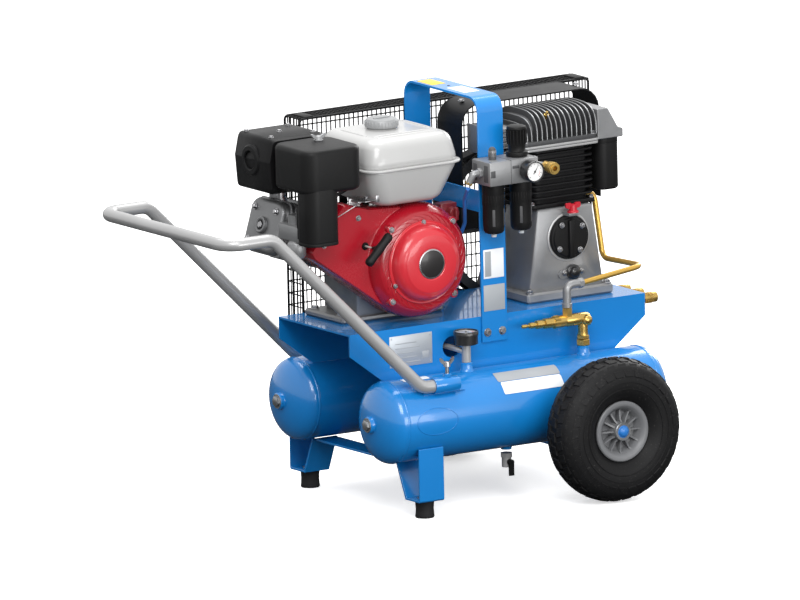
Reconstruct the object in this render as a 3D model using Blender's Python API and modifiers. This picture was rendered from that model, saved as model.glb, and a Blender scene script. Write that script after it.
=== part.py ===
"""Wheelbarrow air compressor: two air tanks, a petrol engine, a belt-driven two-cylinder pump.

Units are metres, +Z is up, +X points to the wheels and the handles are at -X.
The near side, with the recoil starter and the pressure gauges, faces -Y.
"""
import bpy
import bmesh
from math import acos, atan2, cos, pi, radians, sin
from mathutils import Vector

for old in list(bpy.data.objects):
    bpy.data.objects.remove(old, do_unlink=True)

PARTS = bpy.data.collections.new("wheelbarrow_air_compressor")
CUTTERS = bpy.data.collections.new("cutters")
bpy.context.scene.collection.children.link(PARTS)
bpy.context.scene.collection.children.link(CUTTERS)

# ---------------------------------------------------------------- driving sizes
GAP = 0.0003                 # what touching pieces keep between them
MERGE = 0.00005              # merge distance of every modifier that merges

TANK_RADIUS = 0.085
TANK_WALL = 0.003
TANK_Y = 0.1686              # each tank's axis is this far from the middle
TANK_Z = 0.1977
TANK_HEAD_DEPTH = 0.040
TANK_LEFT = -0.1775          # tips of the dished heads
TANK_RIGHT = 0.5200

PLATFORM_LEFT = -0.2006
PLATFORM_RIGHT = 0.5223
PLATFORM_HALF_WIDTH = 0.1333
PLATFORM_TOP = 0.3820
PLATFORM_SHEET = 0.004
PLATFORM_FOOT = 0.2760       # lower edge, just above the tanks

WHEEL_X = 0.320
WHEEL_Y = 0.316
WHEEL_RADIUS = 0.150
TYRE_HALF_WIDTH = 0.050

ENGINE_X = -0.010            # crankshaft axis
ENGINE_Z = 0.511
PUMP_X = 0.375               # crankshaft axis
PUMP_Z = 0.509

ROLL_BAR_LEFT = 0.1206
ROLL_BAR_RIGHT = 0.1818
ROLL_BAR_STRAP = 0.005
ROLL_BAR_HALF_WIDTH = PLATFORM_HALF_WIDTH + GAP + ROLL_BAR_STRAP
ROLL_BAR_TOP = 0.8380

NEAR = -1
FAR = 1
SIDES = (("near", NEAR), ("far", FAR))


# ---------------------------------------------------------------- tools
def material(name, colour, roughness, metallic=0.0):
    """A plain Principled material."""
    mat = bpy.data.materials.new(name)
    mat.use_nodes = True
    shader = mat.node_tree.nodes["Principled BSDF"]
    shader.inputs["Base Color"].default_value = (*colour, 1.0)
    shader.inputs["Roughness"].default_value = roughness
    shader.inputs["Metallic"].default_value = metallic
    mat.diffuse_color = (*colour, 1.0)
    return mat


def facing(axis):
    """The rotation that turns +Z to the given direction."""
    return Vector((0, 0, 1)).rotation_difference(Vector(axis).normalized()).to_euler()


def add(name, data, place=(0, 0, 0), axis=(0, 0, 1), mat=None):
    """A new object: a named part when it has a material, a cutter when it has none."""
    obj = bpy.data.objects.new(name, data)
    obj.location = place
    obj.rotation_euler = facing(axis)
    if mat is None:
        CUTTERS.objects.link(obj)
        obj.hide_render = True
        obj.display_type = "WIRE"
    else:
        PARTS.objects.link(obj)
        data.materials.append(mat)
    return obj


def from_bmesh(name, bm, place=(0, 0, 0), axis=(0, 0, 1), mat=None):
    mesh = bpy.data.meshes.new(name)
    bm.to_mesh(mesh)
    bm.free()
    return add(name, mesh, place, axis, mat)


def box(name, low, high, mat=None, bevel=0.0, segments=1, top=None):
    """A box between two corners; top is the (x, y) scale of its upper face."""
    size = Vector(high) - Vector(low)
    bm = bmesh.new()
    bmesh.ops.create_cube(bm, size=1.0)
    for vert in bm.verts:
        if top and vert.co.z > 0:
            vert.co.x *= top[0]
            vert.co.y *= top[1]
        vert.co = Vector((vert.co.x * size.x, vert.co.y * size.y, vert.co.z * size.z))
    obj = from_bmesh(name, bm, (Vector(low) + Vector(high)) / 2, mat=mat)
    if bevel:
        rounding = obj.modifiers.new("round edges", "BEVEL")
        rounding.width = bevel
        rounding.segments = segments
    return obj


def rod(name, radius, start, end, mat=None, sides=20, end_radius=None):
    """A round bar, or a cone, between two points."""
    start, end = Vector(start), Vector(end)
    far_radius = radius if end_radius is None else end_radius
    bm = bmesh.new()
    bmesh.ops.create_cone(bm, cap_ends=True, segments=sides, radius1=radius,
                          radius2=far_radius, depth=(end - start).length)
    return from_bmesh(name, bm, (start + end) / 2, end - start, mat)


def turned(name, profile, place, axis, mat=None, steps=24):
    """A turned piece. The profile's (radius, height) points run down its outer side."""
    mesh = bpy.data.meshes.new(name)
    closed = profile[0][0] > MERGE or profile[-1][0] > MERGE
    count = len(profile)
    edges = [(i, i + 1) for i in range(count - 1)]
    if closed:
        edges.append((count - 1, 0))
    mesh.from_pydata([(r, 0, z) for r, z in profile], edges, [])
    obj = add(name, mesh, place, axis, mat)
    screw = obj.modifiers.new("turn", "SCREW")
    screw.steps = steps
    screw.render_steps = steps
    screw.use_merge_vertices = True
    screw.merge_threshold = MERGE
    return obj


def as_mesh(obj):
    """A curve object as a mesh object with welded caps; the curve is removed."""
    bpy.context.view_layer.update()
    evaluated = obj.evaluated_get(bpy.context.evaluated_depsgraph_get())
    mesh = bpy.data.meshes.new_from_object(evaluated)
    bm = bmesh.new()
    bm.from_mesh(mesh)
    bmesh.ops.remove_doubles(bm, verts=bm.verts, dist=MERGE)
    bmesh.ops.recalc_face_normals(bm, faces=bm.faces)
    bm.to_mesh(mesh)
    bm.free()
    name, place = obj.name, obj.matrix_world.copy()
    home = obj.users_collection[0]
    bpy.data.objects.remove(obj)
    solid = bpy.data.objects.new(name, mesh)
    solid.matrix_world = place
    home.objects.link(solid)
    if home == CUTTERS:
        solid.hide_render = True
        solid.display_type = "WIRE"
    return solid


def plate(name, outlines, thickness, place, plane, mat=None):
    """A flat outline given thickness. plane names the two axes that its points use."""
    curve = bpy.data.curves.new(name, "CURVE")
    curve.dimensions = "2D"
    curve.fill_mode = "BOTH"
    curve.extrude = thickness / 2
    for outline in outlines:
        spline = curve.splines.new("POLY")
        spline.points.add(len(outline) - 1)
        for point, (u, v) in zip(spline.points, outline):
            point.co = (u, v, 0, 1)
        spline.use_cyclic_u = True
    obj = add(name, curve, place, mat=mat)
    turns = {"XY": (0, 0, 0), "XZ": (pi / 2, 0, 0), "YZ": (pi / 2, 0, pi / 2)}
    obj.rotation_euler = turns[plane]
    return as_mesh(obj)


def tube(name, path, radius, mat=None, resolution=2):
    """A round tube along a smoothed path."""
    curve = bpy.data.curves.new(name, "CURVE")
    curve.dimensions = "3D"
    curve.bevel_depth = radius
    curve.bevel_resolution = resolution
    curve.use_fill_caps = True
    spline = curve.splines.new("POLY")
    spline.points.add(len(path) - 1)
    for point, co in zip(spline.points, path):
        point.co = (*co, 1)
    return as_mesh(add(name, curve, mat=mat))


def bent(points, radius, steps=5):
    """The route through the corner points with every corner rounded to the radius."""
    points = [Vector(p) for p in points]
    route = [points[0]]
    for before, corner, after in zip(points, points[1:], points[2:]):
        inward, outward = (before - corner).normalized(), (after - corner).normalized()
        angle = inward.angle(outward)
        reach = radius / max(sin(angle / 2) / cos(angle / 2), MERGE)
        centre = corner + (inward + outward).normalized() * (radius / sin(angle / 2))
        start = (corner + inward * reach - centre).normalized()
        end = (corner + outward * reach - centre).normalized()
        for step in range(steps + 1):
            route.append(centre + start.slerp(end, step / steps) * radius)
    route.append(points[-1])
    return route


def arc(centre, radius, first, last, steps):
    """Points on an arc, with the angles in degrees."""
    angles = [radians(first + (last - first) * i / steps) for i in range(steps + 1)]
    return [(centre[0] + radius * cos(a), centre[1] + radius * sin(a)) for a in angles]


def combine(obj, other, operation):
    boolean = obj.modifiers.new(other.name, "BOOLEAN")
    boolean.operation = operation
    boolean.solver = "EXACT"
    boolean.object = other


def join(obj, *others):
    for other in others:
        combine(obj, other, "UNION")


def cut(obj, *others):
    for other in others:
        combine(obj, other, "DIFFERENCE")


def pivot(name, place, *pieces):
    """An empty on a joint's axis that carries the pieces which turn or slide on it."""
    empty = bpy.data.objects.new(name, None)
    empty.location = place
    PARTS.objects.link(empty)
    bpy.context.view_layer.update()
    for piece in pieces:
        piece.parent = empty
        piece.matrix_parent_inverse = empty.matrix_world.inverted()


# ---------------------------------------------------------------- materials
BLUE = material("blue_enamel", (0.030, 0.250, 0.620), 0.28)
RED = material("red_enamel", (0.520, 0.020, 0.040), 0.30)
BLACK = material("black_enamel", (0.020, 0.020, 0.021), 0.42)
BLACK_PLASTIC = material("black_plastic", (0.025, 0.025, 0.026), 0.50)
RUBBER = material("black_rubber", (0.018, 0.018, 0.018), 0.80)
CAST = material("cast_aluminium", (0.420, 0.420, 0.420), 0.45, 0.6)
HEAD_CAST = material("dark_cast_aluminium", (0.110, 0.115, 0.120), 0.50, 0.5)
STEEL = material("zinc_steel", (0.520, 0.520, 0.530), 0.30, 1.0)
SATIN = material("satin_paint", (0.430, 0.430, 0.430), 0.35, 0.3)
BRASS = material("brass", (0.640, 0.430, 0.110), 0.28, 1.0)
CREAM = material("tank_white", (0.680, 0.680, 0.670), 0.35)
RED_PLASTIC = material("red_plastic", (0.450, 0.030, 0.050), 0.45)
GREY_PLASTIC = material("grey_plastic", (0.300, 0.300, 0.300), 0.50)
BLUE_HOSE = material("blue_hose", (0.040, 0.200, 0.450), 0.40)
SMOKED = material("smoked_plastic", (0.020, 0.022, 0.024), 0.25)

# ---------------------------------------------------------------- handle, sized first: the tanks hold it
TUBE_RADIUS = 0.01345
HANDLE_Y = 0.2345
HANDLE_LOW = 0.2745          # height of the ends in their sleeves
HANDLE_HIGH = 0.6265
HANDLE_END = -0.0120
HANDLE_BEND_LOW = -0.0930
HANDLE_BEND_HIGH = -0.4485
HANDLE_BAR = -0.5610
SLEEVE_LEFT = -0.0660
SLEEVE_RIGHT = -0.0060
SLEEVE_RADIUS = 0.01685
SLEEVE_BORE = TUBE_RADIUS + GAP


def handle():
    corners = [
        (HANDLE_END, -HANDLE_Y, HANDLE_LOW),
        (HANDLE_BEND_LOW, -HANDLE_Y, HANDLE_LOW),
        (HANDLE_BEND_HIGH, -HANDLE_Y, HANDLE_HIGH),
        (HANDLE_BAR, -HANDLE_Y, HANDLE_HIGH),
    ]
    corners += [(x, -y, z) for x, y, z in reversed(corners)]
    bar = tube("handle", bent(corners, 0.040, 4), TUBE_RADIUS, SATIN, 3)
    pivot("handle_slide", (SLEEVE_LEFT, 0, HANDLE_LOW), bar)


THUMBSCREW_X = -0.0300
THUMBSCREW_FOOT = HANDLE_LOW + TUBE_RADIUS + GAP
THUMBSCREW_RADIUS = 0.0040


def thumbscrew(side, sign):
    top = HANDLE_LOW + SLEEVE_RADIUS + 0.020
    y = sign * HANDLE_Y
    screw = rod("thumbscrew_" + side, THUMBSCREW_RADIUS, (THUMBSCREW_X, y, THUMBSCREW_FOOT),
                (THUMBSCREW_X, y, top), STEEL, 12)
    collar = rod("thumbscrew_collar_" + side, 0.0080, (THUMBSCREW_X, y, top - 0.008),
                 (THUMBSCREW_X, y, top + 0.002), None, 12)
    wings = box("thumbscrew_wings_" + side, (THUMBSCREW_X - 0.0180, y - 0.0020, top - 0.003),
                (THUMBSCREW_X + 0.0180, y + 0.0020, top + 0.009))
    join(screw, collar, wings)
    pivot("thumbscrew_axis_" + side, (THUMBSCREW_X, y, top), screw)


# ---------------------------------------------------------------- tanks
NOZZLE_RADIUS = 0.0125
NOZZLE_BORE = 0.0070
VALVE_NOZZLE_X = 0.3463
GAUGE_NOZZLE_X = 0.0605
NOZZLE_TOP = 0.3000
DRAIN_X = 0.1530
DRAIN_BOSS_FOOT = 0.1000


def head_profile(radius, depth, steps):
    """Points of an elliptic dished head, from its tip to its rim."""
    angles = [pi / 2 * i / steps for i in range(steps + 1)]
    return [(radius * sin(a), depth * cos(a)) for a in angles]


def tank(side, sign):
    """A welded tank: shell, end bosses, nozzles, drain boss and the sleeve for the handle."""
    length = TANK_RIGHT - TANK_LEFT
    straight = length - 2 * TANK_HEAD_DEPTH
    outer = [(r, straight / 2 + z) for r, z in head_profile(TANK_RADIUS, TANK_HEAD_DEPTH, 5)]
    inner = [(r, straight / 2 + z) for r, z in
             head_profile(TANK_RADIUS - TANK_WALL, TANK_HEAD_DEPTH - TANK_WALL, 3)]
    middle = ((TANK_LEFT + TANK_RIGHT) / 2, sign * TANK_Y, TANK_Z)
    shell = turned("tank_" + side, outer + [(r, -z) for r, z in reversed(outer)], middle, (1, 0, 0),
                   BLUE, 30)
    hollow = turned("tank_hollow_" + side, inner + [(r, -z) for r, z in reversed(inner)], middle,
                    (1, 0, 0), None, 18)
    y = sign * TANK_Y
    extras = []
    for end, way in ((TANK_LEFT, -1), (TANK_RIGHT, 1)):
        extras.append(rod("tank_boss", 0.0170, (end - way * 0.006, y, TANK_Z),
                          (end + way * 0.008, y, TANK_Z), None, 16))
    nozzles = [GAUGE_NOZZLE_X]
    if sign == NEAR:
        nozzles.append(VALVE_NOZZLE_X)
    for x in nozzles:
        extras.append(rod("tank_nozzle", NOZZLE_RADIUS, (x, y + MERGE * 5, TANK_Z + TANK_RADIUS - 0.0110),
                          (x, y + MERGE * 5, NOZZLE_TOP), None, 16))
    extras.append(rod("tank_drain_boss", 0.0110, (DRAIN_X, y, TANK_Z - TANK_RADIUS + 0.003),
                      (DRAIN_X, y, DRAIN_BOSS_FOOT), None, 12))
    handle_y = sign * HANDLE_Y
    extras.append(rod("handle_sleeve", SLEEVE_RADIUS, (SLEEVE_LEFT, handle_y, HANDLE_LOW),
                      (SLEEVE_RIGHT, handle_y, HANDLE_LOW), None, 20))
    extras.append(rod("thumbscrew_boss", 0.0085, (THUMBSCREW_X, handle_y, HANDLE_LOW + 0.0042),
                      (THUMBSCREW_X, handle_y, HANDLE_LOW + SLEEVE_RADIUS + 0.006), None, 14))
    join(shell, *extras)
    cut(shell, hollow)
    for x in nozzles:
        cut(shell, rod("tank_port", NOZZLE_BORE, (x, y + MERGE * 5, TANK_Z + TANK_RADIUS - 0.020),
                       (x, y + MERGE * 5, NOZZLE_TOP + 0.005), None, 12))
    cut(shell, rod("sleeve_bore", SLEEVE_BORE, (SLEEVE_LEFT - 0.005, handle_y, HANDLE_LOW),
                   (SLEEVE_RIGHT + 0.005, handle_y, HANDLE_LOW), None, 24))
    cut(shell, rod("thumbscrew_hole", THUMBSCREW_RADIUS + GAP,
                   (THUMBSCREW_X, handle_y, HANDLE_LOW + 0.005),
                   (THUMBSCREW_X, handle_y, HANDLE_LOW + SLEEVE_RADIUS + 0.010), None, 12))


# ---------------------------------------------------------------- platform
PLATFORM_LIP = 0.0460        # upright part of each end
PLATFORM_FOOT_LEFT = -0.1210
PLATFORM_FOOT_RIGHT = 0.4450
PIPE_HOLE_X = 0.0480
PIPE_HOLE_Z = 0.3280
PIPE_HOLE_RADIUS = 0.0220


def platform():
    """One folded sheet: a deep channel that is open below and at both ends."""
    half = PLATFORM_HALF_WIDTH
    body = box("platform", (PLATFORM_LEFT, -half, PLATFORM_FOOT), (PLATFORM_RIGHT, half, PLATFORM_TOP), BLUE)
    inside = half - PLATFORM_SHEET
    channel = box("platform_channel", (PLATFORM_LEFT - 0.010, -inside, PLATFORM_FOOT - 0.010),
                  (PLATFORM_RIGHT + 0.010, inside, PLATFORM_TOP - PLATFORM_SHEET))
    lip = PLATFORM_TOP - PLATFORM_LIP
    under = PLATFORM_FOOT - 0.020
    left = [(PLATFORM_LEFT - 0.020, lip), (PLATFORM_LEFT - 0.020, under), (PLATFORM_FOOT_LEFT, under),
            (PLATFORM_FOOT_LEFT, PLATFORM_FOOT), (PLATFORM_LEFT, lip)]
    right = [(PLATFORM_RIGHT + 0.020, lip), (PLATFORM_RIGHT, lip), (PLATFORM_FOOT_RIGHT, PLATFORM_FOOT),
             (PLATFORM_FOOT_RIGHT, under), (PLATFORM_RIGHT + 0.020, under)]
    cut(body, channel)
    for name, outline in (("platform_left_slant", left), ("platform_right_slant", right)):
        cut(body, plate(name, [outline], 4 * half, (0, 0, 0), "XZ"))
    cut(body, rod("platform_pipe_hole", PIPE_HOLE_RADIUS, (PIPE_HOLE_X, -half - 0.01, PIPE_HOLE_Z),
                  (PIPE_HOLE_X, half + 0.01, PIPE_HOLE_Z), None, 20))


# ---------------------------------------------------------------- roll bar with its cross plate
ROLL_BAR_FOOT = 0.3280
ROLL_BAR_BEND = 0.032
BRACE_X = 0.1250
BRACE_LOW = 0.5980
BRACE_HIGH = 0.6430


def roll_bar():
    half, strap, bend = ROLL_BAR_HALF_WIDTH, ROLL_BAR_STRAP, ROLL_BAR_BEND
    outside = [(half, ROLL_BAR_FOOT)]
    outside += arc((half - bend, ROLL_BAR_TOP - bend), bend, 0, 90, 6)
    outside += arc((-half + bend, ROLL_BAR_TOP - bend), bend, 90, 180, 6)
    outside.append((-half, ROLL_BAR_FOOT))
    inside = [(-half + strap, ROLL_BAR_FOOT)]
    inside += arc((-half + bend, ROLL_BAR_TOP - bend), bend - strap, 180, 90, 6)
    inside += arc((half - bend, ROLL_BAR_TOP - bend), bend - strap, 90, 0, 6)
    inside.append((half - strap, ROLL_BAR_FOOT))
    middle = (ROLL_BAR_LEFT + ROLL_BAR_RIGHT) / 2
    bar = plate("roll_bar", [outside + inside], ROLL_BAR_RIGHT - ROLL_BAR_LEFT, (middle, 0, 0), "YZ", BLUE)
    reach = half - 0.6 * strap
    brace = box("roll_bar_brace", (BRACE_X, -reach, BRACE_LOW + 0.0002), (BRACE_X + 0.0041, reach, BRACE_HIGH))
    join(bar, brace)


def control_box():
    box("control_box", (BRACE_X + 0.004 + GAP, -0.0540, 0.5480), (BRACE_X + 0.0520, 0.0500, 0.6060),
        BLACK_PLASTIC, 0.003)


# ---------------------------------------------------------------- feet
FOOT_X = -0.0790
FOOT_Y = 0.2147
FOOT_WIDTH = 0.060
FOOT_PAD = 0.0360            # underside of the bracket
FOOT_STRAP = 0.005
FOOT_OUTER_Y = 0.2445
FOOT_INNER_Y = 0.1880
FOOT_INNER_TOP_Y = 0.1590
CROSSBAR_TOP = TANK_Z - TANK_RADIUS - GAP


def foot_bracket(side, sign):
    outline = [
        (FOOT_OUTER_Y, 0.1480), (FOOT_OUTER_Y, FOOT_PAD + 0.003), (FOOT_OUTER_Y - 0.003, FOOT_PAD),
        (FOOT_INNER_Y, FOOT_PAD), (FOOT_INNER_TOP_Y - FOOT_STRAP, 0.1120),
        (FOOT_INNER_TOP_Y, 0.1120), (FOOT_INNER_Y + FOOT_STRAP, FOOT_PAD + FOOT_STRAP),
        (FOOT_OUTER_Y - FOOT_STRAP, FOOT_PAD + FOOT_STRAP), (FOOT_OUTER_Y - FOOT_STRAP, 0.1480),
    ]
    if sign == NEAR:
        outline = [(-y, z) for y, z in reversed(outline)]
    plate("foot_bracket_" + side, [outline], FOOT_WIDTH, (FOOT_X, 0, 0), "YZ", BLUE)


def foot_crossbar():
    reach = FOOT_INNER_TOP_Y - FOOT_STRAP - 0.0015
    box("foot_crossbar", (FOOT_X - 0.0250, -reach, CROSSBAR_TOP - 0.005),
        (FOOT_X + 0.0250, reach, CROSSBAR_TOP), BLUE)


def rubber_foot(side, sign):
    rod("rubber_foot_" + side, 0.0200, (FOOT_X, sign * FOOT_Y, 0), (FOOT_X, sign * FOOT_Y, FOOT_PAD - GAP),
        RUBBER, 24)


# ---------------------------------------------------------------- axle and wheels
BEAM_LOW = 0.0880
BEAM_HIGH = 0.1080
BEAM_HALF = 0.0200
AXLE_PLATE_IN = TANK_Y + TANK_RADIUS + 0.0009
AXLE_PLATE_OUT = AXLE_PLATE_IN + 0.0060
AXLE_RADIUS = 0.0100
HUB_HALF = 0.0375


def axle_beam():
    """The beam under the tanks with its saddles, end plates and stub axles, one welded piece."""
    beam = box("axle_beam", (WHEEL_X - BEAM_HALF, -AXLE_PLATE_OUT, BEAM_LOW),
               (WHEEL_X + BEAM_HALF, AXLE_PLATE_OUT, BEAM_HIGH), BLUE)
    for sign in (NEAR, FAR):
        y = sorted((sign * AXLE_PLATE_IN, sign * AXLE_PLATE_OUT))
        end_plate = box("axle_end_plate", (WHEEL_X - BEAM_HALF, y[0], BEAM_LOW),
                        (WHEEL_X + BEAM_HALF, y[1], 0.1750))
        saddle = box("axle_saddle", (WHEEL_X - BEAM_HALF, sign * TANK_Y - 0.020, BEAM_HIGH - 0.004),
                     (WHEEL_X + BEAM_HALF, sign * TANK_Y + 0.020, CROSSBAR_TOP))
        shoulder = sign * (AXLE_PLATE_IN + 0.002)
        hub_face = sign * (WHEEL_Y - HUB_HALF - 0.0005)
        collar = rod("axle_collar", 0.0160, (WHEEL_X, shoulder, WHEEL_RADIUS),
                     (WHEEL_X, hub_face, WHEEL_RADIUS), None, 16)
        axle = rod("axle_stub", AXLE_RADIUS, (WHEEL_X, shoulder, WHEEL_RADIUS),
                   (WHEEL_X, sign * (WHEEL_Y + HUB_HALF + 0.0010), WHEEL_RADIUS), None, 20)
        join(beam, end_plate, saddle, collar, axle)


TYRE_OUTSIDE = [(0.1500, 0.0120), (0.1460, 0.0330), (0.1340, 0.0460), (0.1080, TYRE_HALF_WIDTH),
                (0.0800, 0.0460), (0.0650, 0.0295), (0.0505, 0.0295)]
TYRE_INSIDE = [(0.0505, 0.0200), (0.0700, 0.0260), (0.1050, 0.0420), (0.1340, 0.0330)]
RIM_OUTSIDE = [(0.0500, 0.0300), (0.0625, 0.0305), (0.0625, 0.0360), (0.0560, 0.0360), (0.0470, 0.0300),
               (0.0440, 0.0200), (0.0440, 0.0050), (0.0190, 0.0050), (0.0190, HUB_HALF), (AXLE_RADIUS + 2 * GAP, HUB_HALF)]
WHEEL_STEPS = 28


def wheel(side, sign):
    place = (WHEEL_X, sign * WHEEL_Y, WHEEL_RADIUS)
    out = (0, sign, 0)
    outer = list(reversed(TYRE_OUTSIDE)) + [(r, -z) for r, z in TYRE_OUTSIDE]
    inner = [(r, -z) for r, z in TYRE_INSIDE] + list(reversed(TYRE_INSIDE))
    tyre = turned("tyre_" + side, outer + inner, place, out, RUBBER, WHEEL_STEPS)
    rim_outer = list(RIM_OUTSIDE[::-1]) + [(r, -z) for r, z in RIM_OUTSIDE]
    rim = turned("rim_" + side, rim_outer, place, out, GREY_PLASTIC, WHEEL_STEPS)
    pivot("wheel_axis_" + side, place, tyre, rim)


# ---------------------------------------------------------------- engine
CASE_TOP = 0.6050
CYLINDER_TILT = radians(17)
CYLINDER_Y = 0.0350
CYLINDER_OUT = Vector((-cos(CYLINDER_TILT), 0, sin(CYLINDER_TILT)))
CYLINDER_UP = Vector((sin(CYLINDER_TILT), 0, cos(CYLINDER_TILT)))
HEAD_START = 0.2450
HEAD_END = 0.3020


def tilted_box(name, start, end, half_y, half_up, mat=None, bevel=0.0):
    """A box along the tilted cylinder axis, from start to end of the crankshaft's distance."""
    length = end - start
    crank = Vector((ENGINE_X, CYLINDER_Y, ENGINE_Z))
    obj = box(name, (-half_up, -half_y, -length / 2), (half_up, half_y, length / 2), mat, bevel, 2)
    obj.location = crank + CYLINDER_OUT * (start + end) / 2
    obj.rotation_euler = (0, CYLINDER_TILT - pi / 2, 0)
    return obj


def engine_crankcase():
    case = box("engine_crankcase", (-0.1150, -0.0300, 0.3900), (0.0950, 0.0950, CASE_TOP), CAST, 0.012, 2)
    base = box("engine_base", (-0.1500, -0.0310, PLATFORM_TOP + GAP), (0.0980, 0.1150, 0.3960), None, 0.004)
    barrel = tilted_box("engine_barrel", 0.0600, HEAD_START - GAP, 0.0560, 0.0560)
    bearing = rod("engine_bearing", 0.0450, (ENGINE_X, 0.0900, ENGINE_Z), (ENGINE_X, 0.1150, ENGINE_Z),
                  None, 20)
    join(case, base, barrel, bearing)
    cut(case, rod("engine_shaft_bore", 0.0130 + GAP, (ENGINE_X, 0.0700, ENGINE_Z),
                  (ENGINE_X, 0.1200, ENGINE_Z), None, 20))


def cylinder_head():
    head = tilted_box("cylinder_head", HEAD_START, HEAD_END, 0.0600, 0.0560, CAST, 0.012)
    face = Vector((ENGINE_X, CYLINDER_Y, ENGINE_Z)) + CYLINDER_OUT * HEAD_END
    boss = rod("cylinder_head_boss", 0.0170, face - CYLINDER_OUT * 0.005, face + CYLINDER_OUT * 0.006,
               None, 16)
    join(head, boss)


ENGINE_PULLEY_RADIUS = 0.0520
FLYWHEEL_RADIUS = 0.1600
BELT_LOW = 0.1540
BELT_HIGH = 0.1860
BELT_DEPTH = 0.0080


def pulley_profile(radius, bore, hub, length):
    """A grooved pulley section with its shaft, from the shaft's free end down."""
    groove = radius - BELT_DEPTH / 2
    half = (BELT_HIGH - BELT_LOW) / 2
    return [(0, half + 0.008), (bore, half + 0.008), (bore, half + 0.004), (radius + 0.003, half + 0.004),
            (radius + 0.003, half + GAP), (groove, half + GAP), (groove, -half - GAP),
            (radius + 0.003, -half - GAP), (radius + 0.003, -half - 0.004), (hub, -half - 0.004),
            (bore, -half - 0.008), (bore, -length), (0, -length)]


def engine_pulley():
    middle = (BELT_LOW + BELT_HIGH) / 2
    piece = turned("engine_pulley", pulley_profile(ENGINE_PULLEY_RADIUS, 0.0127, 0.0250, middle - 0.0750),
                   (ENGINE_X, middle, ENGINE_Z), (0, 1, 0), STEEL, 20)
    pivot("engine_shaft_axis", (ENGINE_X, middle, ENGINE_Z), piece)


def drive_belt():
    """The banded belt: a loop round both pulleys with its straight runs on their common tangents."""
    run = Vector((PUMP_X - ENGINE_X, PUMP_Z - ENGINE_Z))
    small, large = ENGINE_PULLEY_RADIUS - BELT_DEPTH / 2, FLYWHEEL_RADIUS - BELT_DEPTH / 2
    lean = acos((large - small) / run.length) * 180 / pi
    tilt = atan2(run.y, run.x) * 180 / pi
    loops = []
    for extra in (BELT_DEPTH + 0.001, 0.001):
        big = arc((PUMP_X, PUMP_Z), large + extra, tilt - 180 + lean, tilt + 180 - lean, 30)
        little = arc((ENGINE_X, ENGINE_Z), small + extra, tilt + 180 - lean, tilt + 180 + lean, 14)
        loops.append(big + little)
    plate("drive_belt", loops, BELT_HIGH - BELT_LOW, (0, (BELT_LOW + BELT_HIGH) / 2, 0), "XZ", RUBBER)


SHROUD_RADIUS = 0.1200
SHROUD_BACK = -0.0330
SHROUD_FRONT = -0.1250
SHROUD_WALL = 0.003
DUCT_FRONT = -0.0980
GRIP_X = -0.1350
GRIP_Z = 0.5550
GRIP_Y = -0.1500
CORD_RADIUS = 0.0020
SWITCH_PLACE = (0.0980, -0.0750, 0.5920)
SWITCH_BLOCK_FACE = -0.0627


def duct_outline(shrink):
    """Side view of the duct from the fan to the cylinder; shrink draws it in by the wall."""
    s = shrink
    return [(ENGINE_X, ENGINE_Z + SHROUD_RADIUS - s), (-0.1200, 0.6310 - s), (-0.1850 + s, 0.6480 - s),
            (-0.2680 + 2 * s, 0.5560),
            (-0.2600 + 2 * s, 0.5420), (-0.1000 + s, 0.4300 + s), (ENGINE_X, 0.4100)]


def fan_shroud():
    """The fan housing: a drum with a shoulder, and the duct that leads the air to the cylinder."""
    wall = SHROUD_WALL
    drum = [(0, -SHROUD_FRONT), (0.1000, -SHROUD_FRONT), (0.1160, 0.1080), (SHROUD_RADIUS, 0.0850),
            (SHROUD_RADIUS, -SHROUD_BACK), (0, -SHROUD_BACK)]
    inner = [(0, -SHROUD_FRONT - wall), (0.0980, -SHROUD_FRONT - wall), (0.1130, 0.1065),
             (SHROUD_RADIUS - wall, 0.0840), (SHROUD_RADIUS - wall, 0.0200), (0, 0.0200)]
    centre = (ENGINE_X, 0, ENGINE_Z)
    shroud = turned("fan_shroud", drum, centre, (0, -1, 0), RED, 28)
    depth = SHROUD_BACK - DUCT_FRONT
    duct = plate("fan_duct", [duct_outline(0)], depth, (0, (SHROUD_BACK + DUCT_FRONT) / 2, 0), "XZ")
    x, y, z = SWITCH_PLACE
    switch_block = box("switch_block", (x - 0.0240, SWITCH_BLOCK_FACE, z - 0.0210), (x + 0.0170, -0.0360, z + 0.0190))
    join(shroud, duct, switch_block)
    hollow = plate("fan_duct_hollow", [duct_outline(wall)], depth, (0, (SHROUD_BACK + DUCT_FRONT) / 2 + wall, 0),
                   "XZ")
    cut(shroud, turned("fan_drum_hollow", inner, centre, (0, -1, 0), None, 28), hollow)
    cut(shroud, rod("fan_air_hole", 0.0720, (ENGINE_X, -0.140, ENGINE_Z), (ENGINE_X, -0.110, ENGINE_Z),
                    None, 24))
    cut(shroud, rod("cord_hole", CORD_RADIUS + 0.001, (GRIP_X, -0.130, GRIP_Z), (GRIP_X, -0.080, GRIP_Z),
                    None, 10))


RECOIL_RADIUS = 0.0820
RECOIL_FACE = -0.1560


def recoil_cover():
    depth = -RECOIL_FACE
    back = -SHROUD_FRONT + GAP
    profile = [(0, depth), (0.0560, depth), (0.0740, depth - 0.004), (RECOIL_RADIUS, depth - 0.014),
               (RECOIL_RADIUS, back), (RECOIL_RADIUS - 0.003, back), (RECOIL_RADIUS - 0.003, depth - 0.014),
               (0.0720, depth - 0.006), (0.0550, depth - 0.003), (0, depth - 0.003)]
    turned("recoil_cover", profile, (ENGINE_X, 0, ENGINE_Z), (0, -1, 0), RED, 24)


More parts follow.
